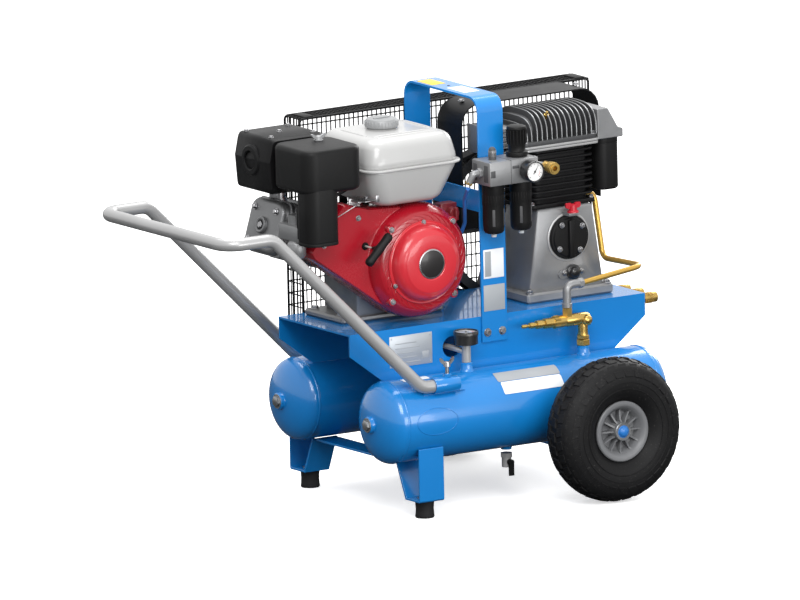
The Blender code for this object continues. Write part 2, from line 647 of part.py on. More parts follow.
def starter_grip():
    """The pull grip, a bar at 45 degrees, with the first length of its cord behind it."""
    diagonal = Vector((sin(radians(45)), 0, cos(radians(45))))
    middle = Vector((GRIP_X, GRIP_Y, GRIP_Z))
    grip = rod("starter_grip", 0.0095, middle - diagonal * 0.040, middle + diagonal * 0.040, BLACK_PLASTIC, 14)
    neck = rod("starter_neck", 0.0070, middle, middle + Vector((0, 0.022, 0)), None, 12)
    cord = rod("starter_cord", CORD_RADIUS, middle, middle + Vector((0, 0.110, 0)), None, 8)
    join(grip, neck, cord)
    pivot("starter_pull", middle, grip)


FUEL_SEAM = 0.7160
FUEL_X = (-0.1560, 0.0820)
FUEL_Y = (-0.1550, 0.0750)
FUEL_TOP = 0.7780
FUEL_FOOT = 0.6360
FILLER = (-0.0380, -0.0200)


def fuel_tank():
    """Two pressed halves with a seam flange round the middle."""
    inset = 0.004
    low = (FUEL_X[0] + inset, FUEL_Y[0] + inset)
    high = (FUEL_X[1] - inset, FUEL_Y[1] - inset)
    body = box("fuel_tank", (*low, FUEL_SEAM - 0.002), (*high, FUEL_TOP), CREAM, 0.012, 2, (0.86, 0.86))
    lower = box("fuel_tank_lower", (*low, -FUEL_SEAM - 0.002), (*high, -FUEL_FOOT), None, 0.010, 2, (0.66, 0.80))
    lower.location.z = (FUEL_SEAM + 0.002 + FUEL_FOOT) / 2
    lower.rotation_euler = (pi, 0, 0)
    seam = box("fuel_tank_seam", (FUEL_X[0], FUEL_Y[0], FUEL_SEAM - 0.0025),
               (FUEL_X[1], FUEL_Y[1], FUEL_SEAM + 0.0025))
    neck = rod("fuel_filler_neck", 0.0280, (*FILLER, FUEL_TOP - 0.010), (*FILLER, FUEL_TOP + 0.003), None, 20)
    join(body, lower, seam, neck)


def fuel_cap():
    foot = FUEL_TOP + 0.003 + GAP
    profile = [(0, 0.0190), (0.0260, 0.0190), (0.0340, 0.0150), (0.0350, 0.0040), (0.0300, 0), (0, 0)]
    cap = turned("fuel_cap", profile, (*FILLER, foot), (0, 0, 1), SATIN, 28)
    pivot("fuel_cap_axis", (*FILLER, foot), cap)


CLEANER_X = (-0.3200, -0.1780)
CLEANER_Y = (-0.1720, -0.0300)
CLEANER_Z = (0.6900, 0.7830)
CLEANER_LEG_X = (-0.3140, -0.2360)
CLEANER_LEG_Y = (-0.1720, -0.1080)
CLEANER_FOOT = 0.5820


def air_cleaner():
    cover = box("air_cleaner", (CLEANER_X[0], CLEANER_Y[0], CLEANER_Z[0]),
                (CLEANER_X[1], CLEANER_Y[1], CLEANER_Z[1]), BLACK_PLASTIC, 0.014, 2)
    leg = box("air_cleaner_leg", (CLEANER_LEG_X[0], CLEANER_LEG_Y[0], CLEANER_FOOT),
              (CLEANER_LEG_X[1], CLEANER_LEG_Y[1], CLEANER_Z[0] + 0.020), None, 0.012, 2)
    join(cover, leg)


NUT_PLACE = (-0.2250, -0.0700, CLEANER_Z[1] + GAP)


def air_cleaner_nut():
    x, y, z = NUT_PLACE
    nut = rod("air_cleaner_nut", 0.0080, NUT_PLACE, (x, y, z + 0.008), STEEL, 12)
    wings = box("air_cleaner_nut_wings", (x - 0.0180, y - 0.0025, z + 0.003), (x + 0.0180, y + 0.0025, z + 0.014))
    join(nut, wings)
    pivot("air_cleaner_nut_axis", NUT_PLACE, nut)


MUFFLER_X = (-0.3200, -0.1780)
MUFFLER_Y = (-0.0270, 0.1050)
MUFFLER_Z = (0.6720, 0.7880)


def muffler():
    body = box("muffler", (MUFFLER_X[0], MUFFLER_Y[0], MUFFLER_Z[0]), (MUFFLER_X[1], MUFFLER_Y[1], MUFFLER_Z[1]),
               BLACK, 0.014, 2)
    port = rod("muffler_port", 0.0320, (MUFFLER_X[0] + 0.010, 0.0390, 0.7370), (MUFFLER_X[0] - 0.004, 0.0390, 0.7370),
               None, 20)
    elbow = rod("muffler_elbow", 0.0170, (-0.2500, 0.0500, 0.6620), (-0.2500, 0.0500, 0.6800), None, 16)
    join(body, port, elbow)
    cut(body, rod("muffler_mouth", 0.0190, (MUFFLER_X[0] + 0.030, 0.0390, 0.7370),
                  (MUFFLER_X[0] - 0.010, 0.0390, 0.7370), None, 16))


def carburetor():
    body = box("carburetor", (-0.3020, -0.1050, 0.5800), (-0.2590, -0.0270, 0.6150), CAST, 0.004)
    bowl = rod("carburetor_bowl", 0.0190, (-0.2900, -0.0800, 0.5450), (-0.2900, -0.0800, 0.5850), None, 16)
    join(body, bowl)


THROTTLE_PIVOT = (-0.1400, -0.1120, 0.6560)


def throttle_lever():
    x, y, z = THROTTLE_PIVOT
    lever = box("throttle_lever", (x - 0.004, y - 0.045, z), (x + 0.004, y + 0.006, z + 0.003), STEEL)
    tab = box("throttle_tab", (x - 0.004, y - 0.045, z), (x + 0.004, y - 0.042, z + 0.014))
    boss = rod("throttle_boss", 0.0070, (x, y, z - 0.002), (x, y, z + 0.006), None, 12)
    join(lever, tab, boss)
    pivot("throttle_axis", THROTTLE_PIVOT, lever)


def engine_switch():
    """The rotary stop switch on the fan housing's upper right."""
    x, y, z = SWITCH_PLACE
    knob = rod("engine_switch", 0.0120, (x, SWITCH_BLOCK_FACE - GAP, z), (x, y - 0.006, z), RED_PLASTIC, 14)
    bar = box("engine_switch_bar", (x - 0.0040, y - 0.0140, z - 0.0140), (x + 0.0040, y - 0.0020, z + 0.0140))
    join(knob, bar)
    pivot("engine_switch_axis", SWITCH_PLACE, knob)


# ---------------------------------------------------------------- pump
PUMP_FRONT = -0.0750
PUMP_BACK = 0.0450
PUMP_CASE_TOP = 0.5720
PUMP_CASE_X = 0.3700
SHAFT_RADIUS = 0.0140
FILLER_SHELF = 0.5620
SIGHT_GLASS = (0.3830, 0.4350)


def pump_crankcase():
    case = box("pump_crankcase", (PUMP_CASE_X - 0.092, PUMP_FRONT, 0.3980), (PUMP_CASE_X + 0.092, PUMP_BACK, PUMP_CASE_TOP),
               CAST, 0.006, 2, (0.73, 1.0))
    base = box("pump_base", (0.2650, -0.0900, PLATFORM_TOP + GAP), (0.4750, 0.0600, 0.4030), None, 0.004)
    bearing = rod("pump_bearing", 0.0480, (PUMP_X, PUMP_BACK - 0.005, PUMP_Z), (PUMP_X, 0.1000, PUMP_Z), None, 24)
    shelf = box("oil_filler_shelf", (PUMP_X - 0.013, -0.1010, FILLER_SHELF - 0.006),
                (PUMP_X + 0.013, PUMP_FRONT + 0.004, FILLER_SHELF))
    x, z = SIGHT_GLASS
    ears = plate("sight_glass_flange", [arc((x + 0.026, z + 0.003), 0.009, -80, 100, 5) +
                 arc((x - 0.026, z - 0.003), 0.009, 100, 280, 5)], 0.008, (0, PUMP_FRONT, 0), "XZ")
    join(case, base, bearing, shelf, ears)
    cut(case, rod("pump_shaft_bore", SHAFT_RADIUS + GAP, (PUMP_X, 0.0700, PUMP_Z), (PUMP_X, 0.1050, PUMP_Z), None, 20))


def pump_front_cover():
    centre = (PUMP_X, PUMP_FRONT - GAP, PUMP_Z)
    profile = [(0, 0.0120), (0.0300, 0.0120), (0.0460, 0.0100), (0.0460, 0), (0, 0)]
    cover = turned("pump_front_cover", profile, centre, (0, -1, 0), BLACK, 28)
    rib = box("pump_cover_rib", (PUMP_X - 0.0030, centre[1] - 0.0180, PUMP_Z - 0.0420),
              (PUMP_X + 0.0030, centre[1] - 0.0050, PUMP_Z + 0.0360))
    join(cover, rib)


def oil_filler_cap():
    place = (PUMP_X, -0.0960, FILLER_SHELF + GAP)
    x, y, z = place
    profile = [(0, 0.0210), (0.0120, 0.0210), (0.0120, 0.0130), (0.0075, 0.0110), (0.0075, 0), (0, 0)]
    cap = turned("oil_filler_cap", profile, place, (0, 0, 1), RED_PLASTIC, 16)
    wings = box("oil_filler_wings", (x - 0.0180, y - 0.0035, z + 0.0115), (x + 0.0180, y + 0.0035, z + 0.0200))
    join(cap, wings)
    pivot("oil_filler_cap_axis", place, cap)


def sight_glass():
    x, z = SIGHT_GLASS
    profile = [(0, 0.0160), (0.0080, 0.0145), (0.0140, 0.0090), (0.0160, 0.0030), (0.0160, 0), (0, 0)]
    turned("sight_glass", profile, (x, PUMP_FRONT - 0.004 - GAP, z), (0, -1, 0), BLACK_PLASTIC, 20)


BLOCK_X = (0.2900, 0.4520)
BLOCK_Y = (-0.0700, 0.0700)
BLOCK_TOP = 0.6950
FIN_COUNT = 8


def cylinder_block():
    foot = PUMP_CASE_TOP + GAP
    core = box("cylinder_block", (BLOCK_X[0] + 0.010, BLOCK_Y[0] + 0.010, foot + 0.004),
               (BLOCK_X[1] - 0.010, BLOCK_Y[1] - 0.010, BLOCK_TOP), BLACK)
    flange = box("block_flange", (BLOCK_X[0] - 0.004, BLOCK_Y[0] - 0.002, foot), (BLOCK_X[1] - 0.012, BLOCK_Y[1], foot + 0.009))
    pitch = (BLOCK_TOP - foot - 0.018) / FIN_COUNT
    fins = box("block_fins", (BLOCK_X[0], BLOCK_Y[0], foot + 0.018), (BLOCK_X[1], BLOCK_Y[1], foot + 0.018 + 0.005))
    row = fins.modifiers.new("row of fins", "ARRAY")
    row.count = FIN_COUNT
    row.use_relative_offset = False
    row.use_constant_offset = True
    row.constant_offset_displace = (0, 0, pitch)
    join(core, flange, fins)


VALVE_PLATE_TOP = 0.7060


def valve_plate():
    box("valve_plate", (0.2720, -0.0800, BLOCK_TOP + GAP), (0.4550, 0.0800, VALVE_PLATE_TOP), STEEL, 0.002)


HEAD_X = (0.2700, 0.4540)
HEAD_FINS = 13
HEAD_FIN_START = 0.3060
HEAD_FIN_PITCH = 0.0120
HEAD_FIN = 0.0030


def arch(half_width, top, corner):
    """The outline of a fin across the head: upright sides and a rounded, domed top."""
    foot = VALVE_PLATE_TOP + 0.004
    crown = arc((0, top - 0.200), 0.200, 90 - 14, 90 + 14, 3)
    scale = (half_width - corner) / crown[0][0]
    right = arc((half_width - corner, crown[0][1] - corner), corner, 0, 60, 2)
    left = [(-y, z) for y, z in reversed(right)]
    return [(half_width, foot)] + right + [(y * scale, z) for y, z in crown] + left + [(-half_width, foot)]


def pump_head():
    middle = (HEAD_X[0] + HEAD_X[1]) / 2
    core = plate("pump_head", [arch(0.0600, 0.7640, 0.020)], HEAD_X[1] - HEAD_X[0], (middle, 0, 0), "YZ", HEAD_CAST)
    foot = VALVE_PLATE_TOP + GAP
    base = box("head_base", (HEAD_X[0], -0.0760, foot), (HEAD_X[1], 0.0760, foot + 0.008))
    fins = plate("head_fins", [arch(0.0740, 0.7760, 0.024)], HEAD_FIN, (HEAD_FIN_START, 0, 0), "YZ")
    row = fins.modifiers.new("row of fins", "ARRAY")
    row.count = HEAD_FINS
    row.use_relative_offset = False
    row.use_constant_offset = True
    row.constant_offset_displace = (0, 0, HEAD_FIN_PITCH)
    join(core, base, fins)


COWL_X = (0.2000, 0.5380)
COWL_Y = (0.0480, 0.1380)
COWL_FOOT = 0.5550
COWL_TOP = 0.7850
COWL_SHEET = 0.003


def cooling_cowl():
    """The sheet hood that leads the flywheel's air over the cylinders: two sides and a rounded top."""
    bend = 0.045
    left, right = COWL_X
    sheet = COWL_SHEET
    outside = [(right, COWL_FOOT)] + arc((right - bend, COWL_TOP - bend), bend, 0, 90, 5)
    outside += arc((left + bend, COWL_TOP - bend), bend, 90, 180, 5) + [(left, COWL_FOOT)]
    inside = [(left + sheet, COWL_FOOT)] + arc((left + bend, COWL_TOP - bend), bend - sheet, 180, 90, 5)
    inside += arc((right - bend, COWL_TOP - bend), bend - sheet, 90, 0, 5) + [(right - sheet, COWL_FOOT)]
    plate("cooling_cowl", [outside + inside], COWL_Y[1] - COWL_Y[0], (0, (COWL_Y[0] + COWL_Y[1]) / 2, 0), "XZ", BLACK)


FILTER_X = (0.4600, 0.5220)
FILTER_Y = (-0.0650, 0.0450)
FILTER_SPLIT = 0.6985


def intake_filter():
    box("intake_filter", (FILTER_X[0] + 0.004, FILTER_Y[0] + 0.003, 0.5900),
        (FILTER_X[1] - 0.003, FILTER_Y[1] - 0.003, FILTER_SPLIT), BLACK_PLASTIC, 0.012, 2)


def intake_filter_cap():
    outline = [(FILTER_X[0], FILTER_SPLIT + GAP), (FILTER_X[1], FILTER_SPLIT + GAP), (FILTER_X[1], FILTER_SPLIT + 0.018),
               (FILTER_X[1] - 0.012, FILTER_SPLIT + 0.022), (FILTER_X[0] + 0.026, FILTER_SPLIT + 0.064),
               (FILTER_X[0], FILTER_SPLIT + 0.064)]
    plate("intake_filter_cap", [outline], FILTER_Y[1] - FILTER_Y[0], (0, (FILTER_Y[0] + FILTER_Y[1]) / 2, 0), "XZ", CAST)


def pump_flywheel():
    """The spoked flywheel and pump pulley with its end of the crankshaft."""
    middle = (BELT_LOW + BELT_HIGH) / 2
    half = (BELT_HIGH - BELT_LOW) / 2
    rim = FLYWHEEL_RADIUS
    groove = rim - BELT_DEPTH / 2
    profile = [(rim + 0.003, half + 0.004), (rim + 0.003, half + GAP), (groove, half + GAP), (groove, -half - GAP),
               (rim + 0.003, -half - GAP), (rim + 0.003, -half - 0.004), (rim - 0.016, -half - 0.004),
               (rim - 0.016, half + 0.004)]
    wheel_rim = turned("pump_flywheel", profile, (PUMP_X, middle, PUMP_Z), (0, 1, 0), HEAD_CAST, 30)
    hub = rod("flywheel_hub", 0.0320, (PUMP_X, middle - half, PUMP_Z), (PUMP_X, middle + half, PUMP_Z), None, 20)
    shaft = rod("pump_shaft", SHAFT_RADIUS, (PUMP_X, 0.0750, PUMP_Z), (PUMP_X, middle, PUMP_Z), None, 20)
    join(wheel_rim, hub, shaft)
    spokes = 5
    for index in range(spokes):
        angle = 2 * pi * index / spokes + radians(36)
        out = Vector((cos(angle), 0, sin(angle)))
        spoke = box("flywheel_spoke", (-0.0170, -0.0110, -0.0630), (0.0170, 0.0110, 0.0630))
        spoke.location = Vector((PUMP_X, middle, PUMP_Z)) + out * 0.0850
        spoke.rotation_euler = (0, pi / 2 - angle, 0)
        join(wheel_rim, spoke)
    pivot("pump_shaft_axis", (PUMP_X, middle, PUMP_Z), wheel_rim)


# ---------------------------------------------------------------- belt guard
GUARD_X = (-0.1350, 0.5750)
GUARD_Y = (0.1400, 0.2000)
GUARD_Z = (0.3380, 0.7850)
GUARD_WIRE = 0.0040
GUARD_CELLS = (8, 1, 5)


def belt_guard():
    """The wire cage round the belt, drawn with wide meshes; its front is open to the two shafts."""
    low = Vector((GUARD_X[0], GUARD_Y[0], GUARD_Z[0])) + Vector((1, 1, 1)) * GUARD_WIRE / 2
    high = Vector((GUARD_X[1], GUARD_Y[1], GUARD_Z[1])) - Vector((1, 1, 1)) * GUARD_WIRE / 2
    bm = bmesh.new()
    bmesh.ops.create_cube(bm, size=1.0)
    for vert in bm.verts:
        vert.co = Vector([high[i] if vert.co[i] > 0 else low[i] for i in range(3)])
    front = [face for face in bm.faces if face.normal.y < -0.5]
    bmesh.ops.delete(bm, geom=front, context="FACES_ONLY")
    for axis, count in enumerate(GUARD_CELLS):
        for index in range(1, count):
            at = low.copy()
            at[axis] = low[axis] + (high[axis] - low[axis]) * index / count
            normal = Vector((0, 0, 0))
            normal[axis] = 1
            bmesh.ops.bisect_plane(bm, geom=bm.verts[:] + bm.edges[:] + bm.faces[:], plane_co=at, plane_no=normal)
    cage = from_bmesh("belt_guard", bm, mat=BLACK)
    wires = cage.modifiers.new("wires", "WIREFRAME")
    wires.thickness = GUARD_WIRE
    wires.use_boundary = True
    wires.use_replace = True
    wires.use_even_offset = True


# ---------------------------------------------------------------- air preparation unit
UNIT_X = (0.1020, 0.2220)
UNIT_Y = (-0.2085, -ROLL_BAR_HALF_WIDTH - GAP)
UNIT_Z = (0.6640, 0.7150)
UNIT_MIDDLE_Y = -0.1740
UNIT_PORT_Z = 0.6900
BOWL_X = (0.1310, 0.1980)
BOWL_RADIUS = 0.0230
BOWL_FOOT = 0.5580
KNOB_X = 0.1910
KNOB_RADIUS = 0.0225
COUPLER_X = 0.2450
COUPLER_START = -0.1960
COUPLER_RADIUS = 0.0090
SLEEVE_TRAVEL = 0.0050


def frl_body():
    body = box("frl_body", (UNIT_X[0], UNIT_Y[0], UNIT_Z[0]), (UNIT_X[1], UNIT_Y[1], UNIT_Z[1]), SATIN, 0.002)
    dome = rod("drip_dome", 0.0080, (BOWL_X[0], UNIT_MIDDLE_Y, UNIT_Z[1] - 0.004), (BOWL_X[0], UNIT_MIDDLE_Y, UNIT_Z[1] + 0.026),
               None, 14)
    inlet = tube("inlet_elbow", bent([(UNIT_X[0] + 0.006, UNIT_MIDDLE_Y, UNIT_PORT_Z), (0.0800, UNIT_MIDDLE_Y, UNIT_PORT_Z),
                                      (0.0760, UNIT_MIDDLE_Y + 0.006, 0.6680)], 0.008, 3), 0.0075)
    outlet = tube("outlet_elbow", bent([(UNIT_X[1] - 0.006, UNIT_MIDDLE_Y, UNIT_PORT_Z), (COUPLER_X, UNIT_MIDDLE_Y, UNIT_PORT_Z),
                                        (COUPLER_X, COUPLER_START + GAP, UNIT_PORT_Z)], 0.010, 3), 0.0070)
    join(body, dome, inlet, outlet)


def bowls():
    profile_top = UNIT_Z[0] - GAP - BOWL_FOOT
    profile = [(0, profile_top), (BOWL_RADIUS, profile_top), (BOWL_RADIUS, 0.0140), (BOWL_RADIUS - 0.005, 0.0060),
               (0.0050, 0.0060), (0.0040, -0.0060), (0, -0.0060)]
    for name, x in zip(("filter_bowl", "lubricator_bowl"), BOWL_X):
        turned(name, profile, (x, UNIT_MIDDLE_Y, BOWL_FOOT), (0, 0, 1), SMOKED, 24)


def regulator_knob():
    place = (KNOB_X, UNIT_MIDDLE_Y, UNIT_Z[1] + GAP)
    radius = KNOB_RADIUS
    profile = [(0, 0.0640), (radius - 0.004, 0.0640), (radius - 0.001, 0.0600), (radius - 0.003, 0.0160), (radius, 0.0120),
               (radius, 0), (0, 0)]
    knob = turned("regulator_knob", profile, place, (0, 0, 1), BLACK_PLASTIC, 24)
    pivot("regulator_knob_axis", place, knob)


def frl_gauge():
    profile = [(0, 0.0270), (0.0190, 0.0270), (0.0215, 0.0290), (0.0225, 0.0280), (0.0225, 0.0080), (0.0060, 0.0070),
               (0.0060, 0), (0, 0)]
    turned("frl_gauge", profile, (0.1950, UNIT_Y[0] - GAP, 0.6900), (0, -1, 0), BLACK_PLASTIC, 24)


def outlet_coupler():
    """The quick coupler on the unit's outlet, with its spring-loaded sleeve."""
    start, end = COUPLER_START, COUPLER_START - 0.0380
    body = rod("outlet_coupler", COUPLER_RADIUS, (COUPLER_X, start, UNIT_PORT_Z), (COUPLER_X, end, UNIT_PORT_Z), BRASS, 20)
    nut = rod("coupler_nut", 0.0110, (COUPLER_X, start, UNIT_PORT_Z), (COUPLER_X, start - 0.008, UNIT_PORT_Z), None, 6)
    join(body, nut)
    cut(body, rod("coupler_bore", 0.0055, (COUPLER_X, end + 0.020, UNIT_PORT_Z), (COUPLER_X, end - 0.004, UNIT_PORT_Z), None, 16))
    ring = [(0.0125, 0.0180), (0.0125, 0), (COUPLER_RADIUS + GAP, 0), (COUPLER_RADIUS + GAP, 0.0180)]
    place = (COUPLER_X, end + 0.0020, UNIT_PORT_Z)
    sleeve = turned("coupler_sleeve", ring, place, (0, 1, 0), BRASS, 20)
    pivot("coupler_sleeve_slide", place, sleeve)


# ---------------------------------------------------------------- pipes, valves and gauges
VALVE_Y = -TANK_Y
VALVE_Z = 0.3560
COLUMN_X = 0.3090
COLUMN_TOP = 0.4300
DELIVERY_START = 0.3500


def check_valve():
    """The brass non-return valve with its pilot unloader, and the elbow that the delivery tube enters."""
    place = (VALVE_NOZZLE_X, VALVE_Y, NOZZLE_TOP + GAP)
    body = rod("check_valve", 0.0150, place, (VALVE_NOZZLE_X, VALVE_Y, 0.3220), BRASS, 6)
    neck = rod("valve_neck", 0.0100, (VALVE_NOZZLE_X, VALVE_Y, 0.3180), (VALVE_NOZZLE_X, VALVE_Y, VALVE_Z), None, 16)
    run = rod("valve_run", 0.0125, (VALVE_NOZZLE_X + 0.016, VALVE_Y, VALVE_Z), (0.2700, VALVE_Y, VALVE_Z), None, 16)
    pilot = rod("valve_pilot", 0.0105, (0.2740, VALVE_Y, VALVE_Z), (0.2250, VALVE_Y, VALVE_Z), None, 12, 0.0060)
    tip = rod("valve_tip", 0.0040, (0.2300, VALVE_Y, VALVE_Z), (0.1980, VALVE_Y, VALVE_Z), None, 10)
    column = tube("valve_column", bent([(COLUMN_X, VALVE_Y, VALVE_Z), (COLUMN_X, VALVE_Y, COLUMN_TOP),
                                        (DELIVERY_START - 0.0015, VALVE_Y, COLUMN_TOP)], 0.012, 3), 0.0095)
    join(body, neck, run, pilot, tip, column)


def delivery_tube():
    """The brass tube from the cylinders down to the non-return valve."""
    route = bent([(DELIVERY_START, VALVE_Y, COLUMN_TOP), (0.4950, VALVE_Y, 0.4480), (0.4950, -0.0200, 0.4420),
                  (0.4950, 0.0100, 0.5780), (BLOCK_X[1] + GAP, 0.0100, 0.5780)], 0.022, 4)
    tube("delivery_tube", route, 0.0060, BRASS)


BALANCE_Z = 0.3200


def balance_pipe():
    """The pipe that joins both tanks through the platform, with the stems that it stands on."""
    ends = [(GAUGE_NOZZLE_X, sign * TANK_Y) for sign in (NEAR, FAR)]
    route = bent([(*ends[0], BALANCE_Z), (PIPE_HOLE_X, -0.1500, 0.3260), (PIPE_HOLE_X, 0.1500, 0.3260),
                  (*ends[1], BALANCE_Z)], 0.012, 2)
    pipe = tube("balance_pipe", route, 0.0060, STEEL)
    for (x, y), top in zip(ends, (0.3360, 0.3300)):
        stem = rod("balance_stem", 0.0095, (x, y, NOZZLE_TOP + GAP), (x, y, top), None, 12)
        join(pipe, stem)


def tank_gauge():
    place = (GAUGE_NOZZLE_X, -TANK_Y, 0.3360 + GAP)
    profile = [(0, 0.0275), (0.0225, 0.0275), (0.0245, 0.0300), (0.0260, 0.0290), (0.0260, 0.0060), (0.0060, 0.0050),
               (0.0060, 0), (0, 0)]
    turned("tank_gauge", profile, place, (0, 0, 1), BLACK_PLASTIC, 28)


DRAIN_LEVER_Z = 0.0840


def drain_cock():
    """The ball cock under the near tank and its quarter-turn lever."""
    top = DRAIN_BOSS_FOOT - GAP
    y = -TANK_Y
    body = rod("drain_cock", 0.0100, (DRAIN_X, y, top - 0.002), (DRAIN_X, y, 0.0700), STEEL, 12)
    nut = rod("drain_nut", 0.0132, (DRAIN_X, y, top), (DRAIN_X, y, top - 0.009), None, 6)
    join(body, nut)
    start = y - 0.0100 - GAP
    lever = rod("drain_lever", 0.0060, (DRAIN_X, start, DRAIN_LEVER_Z - 0.002), (DRAIN_X, start - 0.010, DRAIN_LEVER_Z - 0.002),
                BLACK_PLASTIC, 12)
    paddle = box("drain_paddle", (DRAIN_X - 0.0055, start - 0.0100, DRAIN_LEVER_Z - 0.0300),
                 (DRAIN_X + 0.0055, start - 0.0050, DRAIN_LEVER_Z))
    join(lever, paddle)
    pivot("drain_lever_axis", (DRAIN_X, start, DRAIN_LEVER_Z - 0.002), lever)


OUTLET_Y = (-0.1020, -0.0520, -0.0020)
OUTLET_Z = 0.3640


def outlet_manifold():
    """The bar under the platform's right end with three quick outlets."""
    bar = box("outlet_manifold", (0.4950, OUTLET_Y[0] - 0.018, OUTLET_Z - 0.013), (0.5150, OUTLET_Y[-1] + 0.018, OUTLET_Z + 0.013),
              BRASS)
    for y in OUTLET_Y:
        nipple = rod("outlet_nipple", 0.0075, (0.5100, y, OUTLET_Z), (0.5350, y, OUTLET_Z), None, 14)
        outlet = rod("outlet_body", 0.0110, (0.5300, y, OUTLET_Z), (0.5680, y, OUTLET_Z), None, 16)
        join(bar, nipple, outlet)


def supply_hose():
    """The hose from the platform up to the air preparation unit."""
    route = bent([(0.0745, -0.1665, 0.6590), (0.0900, -0.1300, 0.6300), (0.1180, -0.0850, 0.5700),
                  (0.1180, -0.0250, 0.4800), (0.1180, 0.0100, 0.4300), (0.1180, 0.0100, PLATFORM_TOP + GAP)], 0.030, 4)
    tube("supply_hose", route, 0.0040, BLUE_HOSE)


# ---------------------------------------------------------------- assembly
platform()
roll_bar()
control_box()
foot_crossbar()
axle_beam()
handle()
for side_name, side_sign in SIDES:
    tank(side_name, side_sign)
    foot_bracket(side_name, side_sign)
    rubber_foot(side_name, side_sign)
    wheel(side_name, side_sign)
    thumbscrew(side_name, side_sign)
engine_crankcase()
cylinder_head()
engine_pulley()
drive_belt()
fan_shroud()
recoil_cover()
starter_grip()
fuel_tank()
fuel_cap()
air_cleaner()
air_cleaner_nut()
muffler()
carburetor()
throttle_lever()
engine_switch()
pump_crankcase()
pump_front_cover()
oil_filler_cap()
sight_glass()
cylinder_block()
valve_plate()
pump_head()
cooling_cowl()
intake_filter()
intake_filter_cap()
pump_flywheel()
belt_guard()
frl_body()
bowls()
regulator_knob()
frl_gauge()
outlet_coupler()
check_valve()
delivery_tube()
balance_pipe()
tank_gauge()
drain_cock()
outlet_manifold()
supply_hose()
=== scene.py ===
"""Looks of the wheelbarrow air compressor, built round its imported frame.

Metres, +Z up. The wheels are at +X, the handle at -X, and the starter and the gauges face -Y.
"""
from math import atan2, cos, pi, radians, sin

import bmesh
import bpy
from mathutils import Matrix, Vector


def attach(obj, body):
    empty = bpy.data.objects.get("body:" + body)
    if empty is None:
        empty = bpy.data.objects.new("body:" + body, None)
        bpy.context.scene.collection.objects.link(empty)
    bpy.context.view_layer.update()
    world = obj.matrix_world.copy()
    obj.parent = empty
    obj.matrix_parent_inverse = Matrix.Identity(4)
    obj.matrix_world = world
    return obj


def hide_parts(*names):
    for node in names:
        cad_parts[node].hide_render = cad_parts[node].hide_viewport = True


# directions: the handle is at -X, and the starter faces -Y
UP, DOWN = (0, 0, 1), (0, 0, -1)
FRONT, REAR = (0, -1, 0), (0, 1, 0)
OUTER, HANDLE_WAY = (1, 0, 0), (-1, 0, 0)

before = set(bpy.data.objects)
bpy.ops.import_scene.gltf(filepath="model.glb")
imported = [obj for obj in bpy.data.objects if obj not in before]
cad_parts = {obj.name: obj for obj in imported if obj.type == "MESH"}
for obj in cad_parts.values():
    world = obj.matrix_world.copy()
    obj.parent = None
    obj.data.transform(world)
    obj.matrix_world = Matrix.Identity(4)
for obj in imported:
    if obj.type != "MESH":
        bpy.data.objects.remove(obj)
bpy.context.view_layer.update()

# ---------------------------------------------------------------- studio
# A pale floor, soft boxes on both sides and above, and a long-lens camera at the left front.
# The camera is turned to the handle's side and looks down a little, rolled by about a degree.
AZIMUTH, ELEVATION, ROLL = radians(-32.9), radians(10.85), radians(-1.26)
VIEW_WIDTH = 1.639
AIM = Vector((0.32, 0.0, -0.0025))
AIM_RIGHT, AIM_UP = -0.2678, 0.3678


def paper(name, colour):
    material = bpy.data.materials.new(name)
    material.use_nodes = True
    shader = material.node_tree.nodes["Principled BSDF"]
    shader.inputs["Base Color"].default_value = (*colour, 1.0)
    shader.inputs["Roughness"].default_value = 0.9
    shader.inputs["Specular IOR Level"].default_value = 0.1
    return material


def soft_box(name, place, target, size, power):
    lamp = bpy.data.lights.new(name, "AREA")
    lamp.shape = "RECTANGLE"
    lamp.size, lamp.size_y = size
    lamp.energy = power
    holder = bpy.data.objects.new(name, lamp)
    holder.location = place
    holder.rotation_euler = (Vector(target) - Vector(place)).to_track_quat("-Z", "Y").to_euler()
    bpy.context.scene.collection.objects.link(holder)


floor_mesh = bpy.data.meshes.new("floor")
floor_mesh.from_pydata([(-9, -9, 0), (9, -9, 0), (9, 9, 0), (-9, 9, 0)], [], [(0, 1, 2, 3)])
floor_mesh.materials.append(paper("floor_paper", (0.97, 0.97, 0.97)))
glow = floor_mesh.materials[0].node_tree.nodes["Principled BSDF"]
glow.inputs["Emission Color"].default_value = (1.0, 1.0, 1.0, 1.0)
glow.inputs["Emission Strength"].default_value = 0.5
floor = bpy.data.objects.new("floor", floor_mesh)
bpy.context.scene.collection.objects.link(floor)
floor.visible_diffuse = False
floor.visible_glossy = False
# a dark sheet just under the floor, seen only by bounced and reflected light: it paints shade onto the
# undersides
shade_sheet_mesh = floor_mesh.copy()
shade_sheet_mesh.materials.clear()
shade_sheet_mesh.materials.append(paper("painted_shade_sheet", (0.1, 0.105, 0.11)))
under = bpy.data.objects.new("painted_shade_sheet", shade_sheet_mesh)
under.location = (0, 0, -0.004)
bpy.context.scene.collection.objects.link(under)

world = bpy.data.worlds.new("studio")
world.use_nodes = True
world.node_tree.nodes["Background"].inputs["Color"].default_value = (1.0, 1.0, 1.0, 1.0)
world.node_tree.nodes["Background"].inputs["Strength"].default_value = 1.0
bpy.context.scene.world = world
bpy.context.scene.view_settings.view_transform = "Standard"
soft_box("key", (-1.6, -2.6, 2.6), (0, 0, 0.35), (1.6, 1.6), 70)
soft_box("front", (0.2, -3.2, 0.7), (0, 0, 0.3), (2.4, 1.0), 42)
soft_box("top", (0.2, 0.4, 3.0), (0, 0, 0.4), (2.2, 2.2), 60)
soft_box("rim", (2.6, 1.2, 1.8), (0, 0, 0.4), (1.2, 1.6), 40)

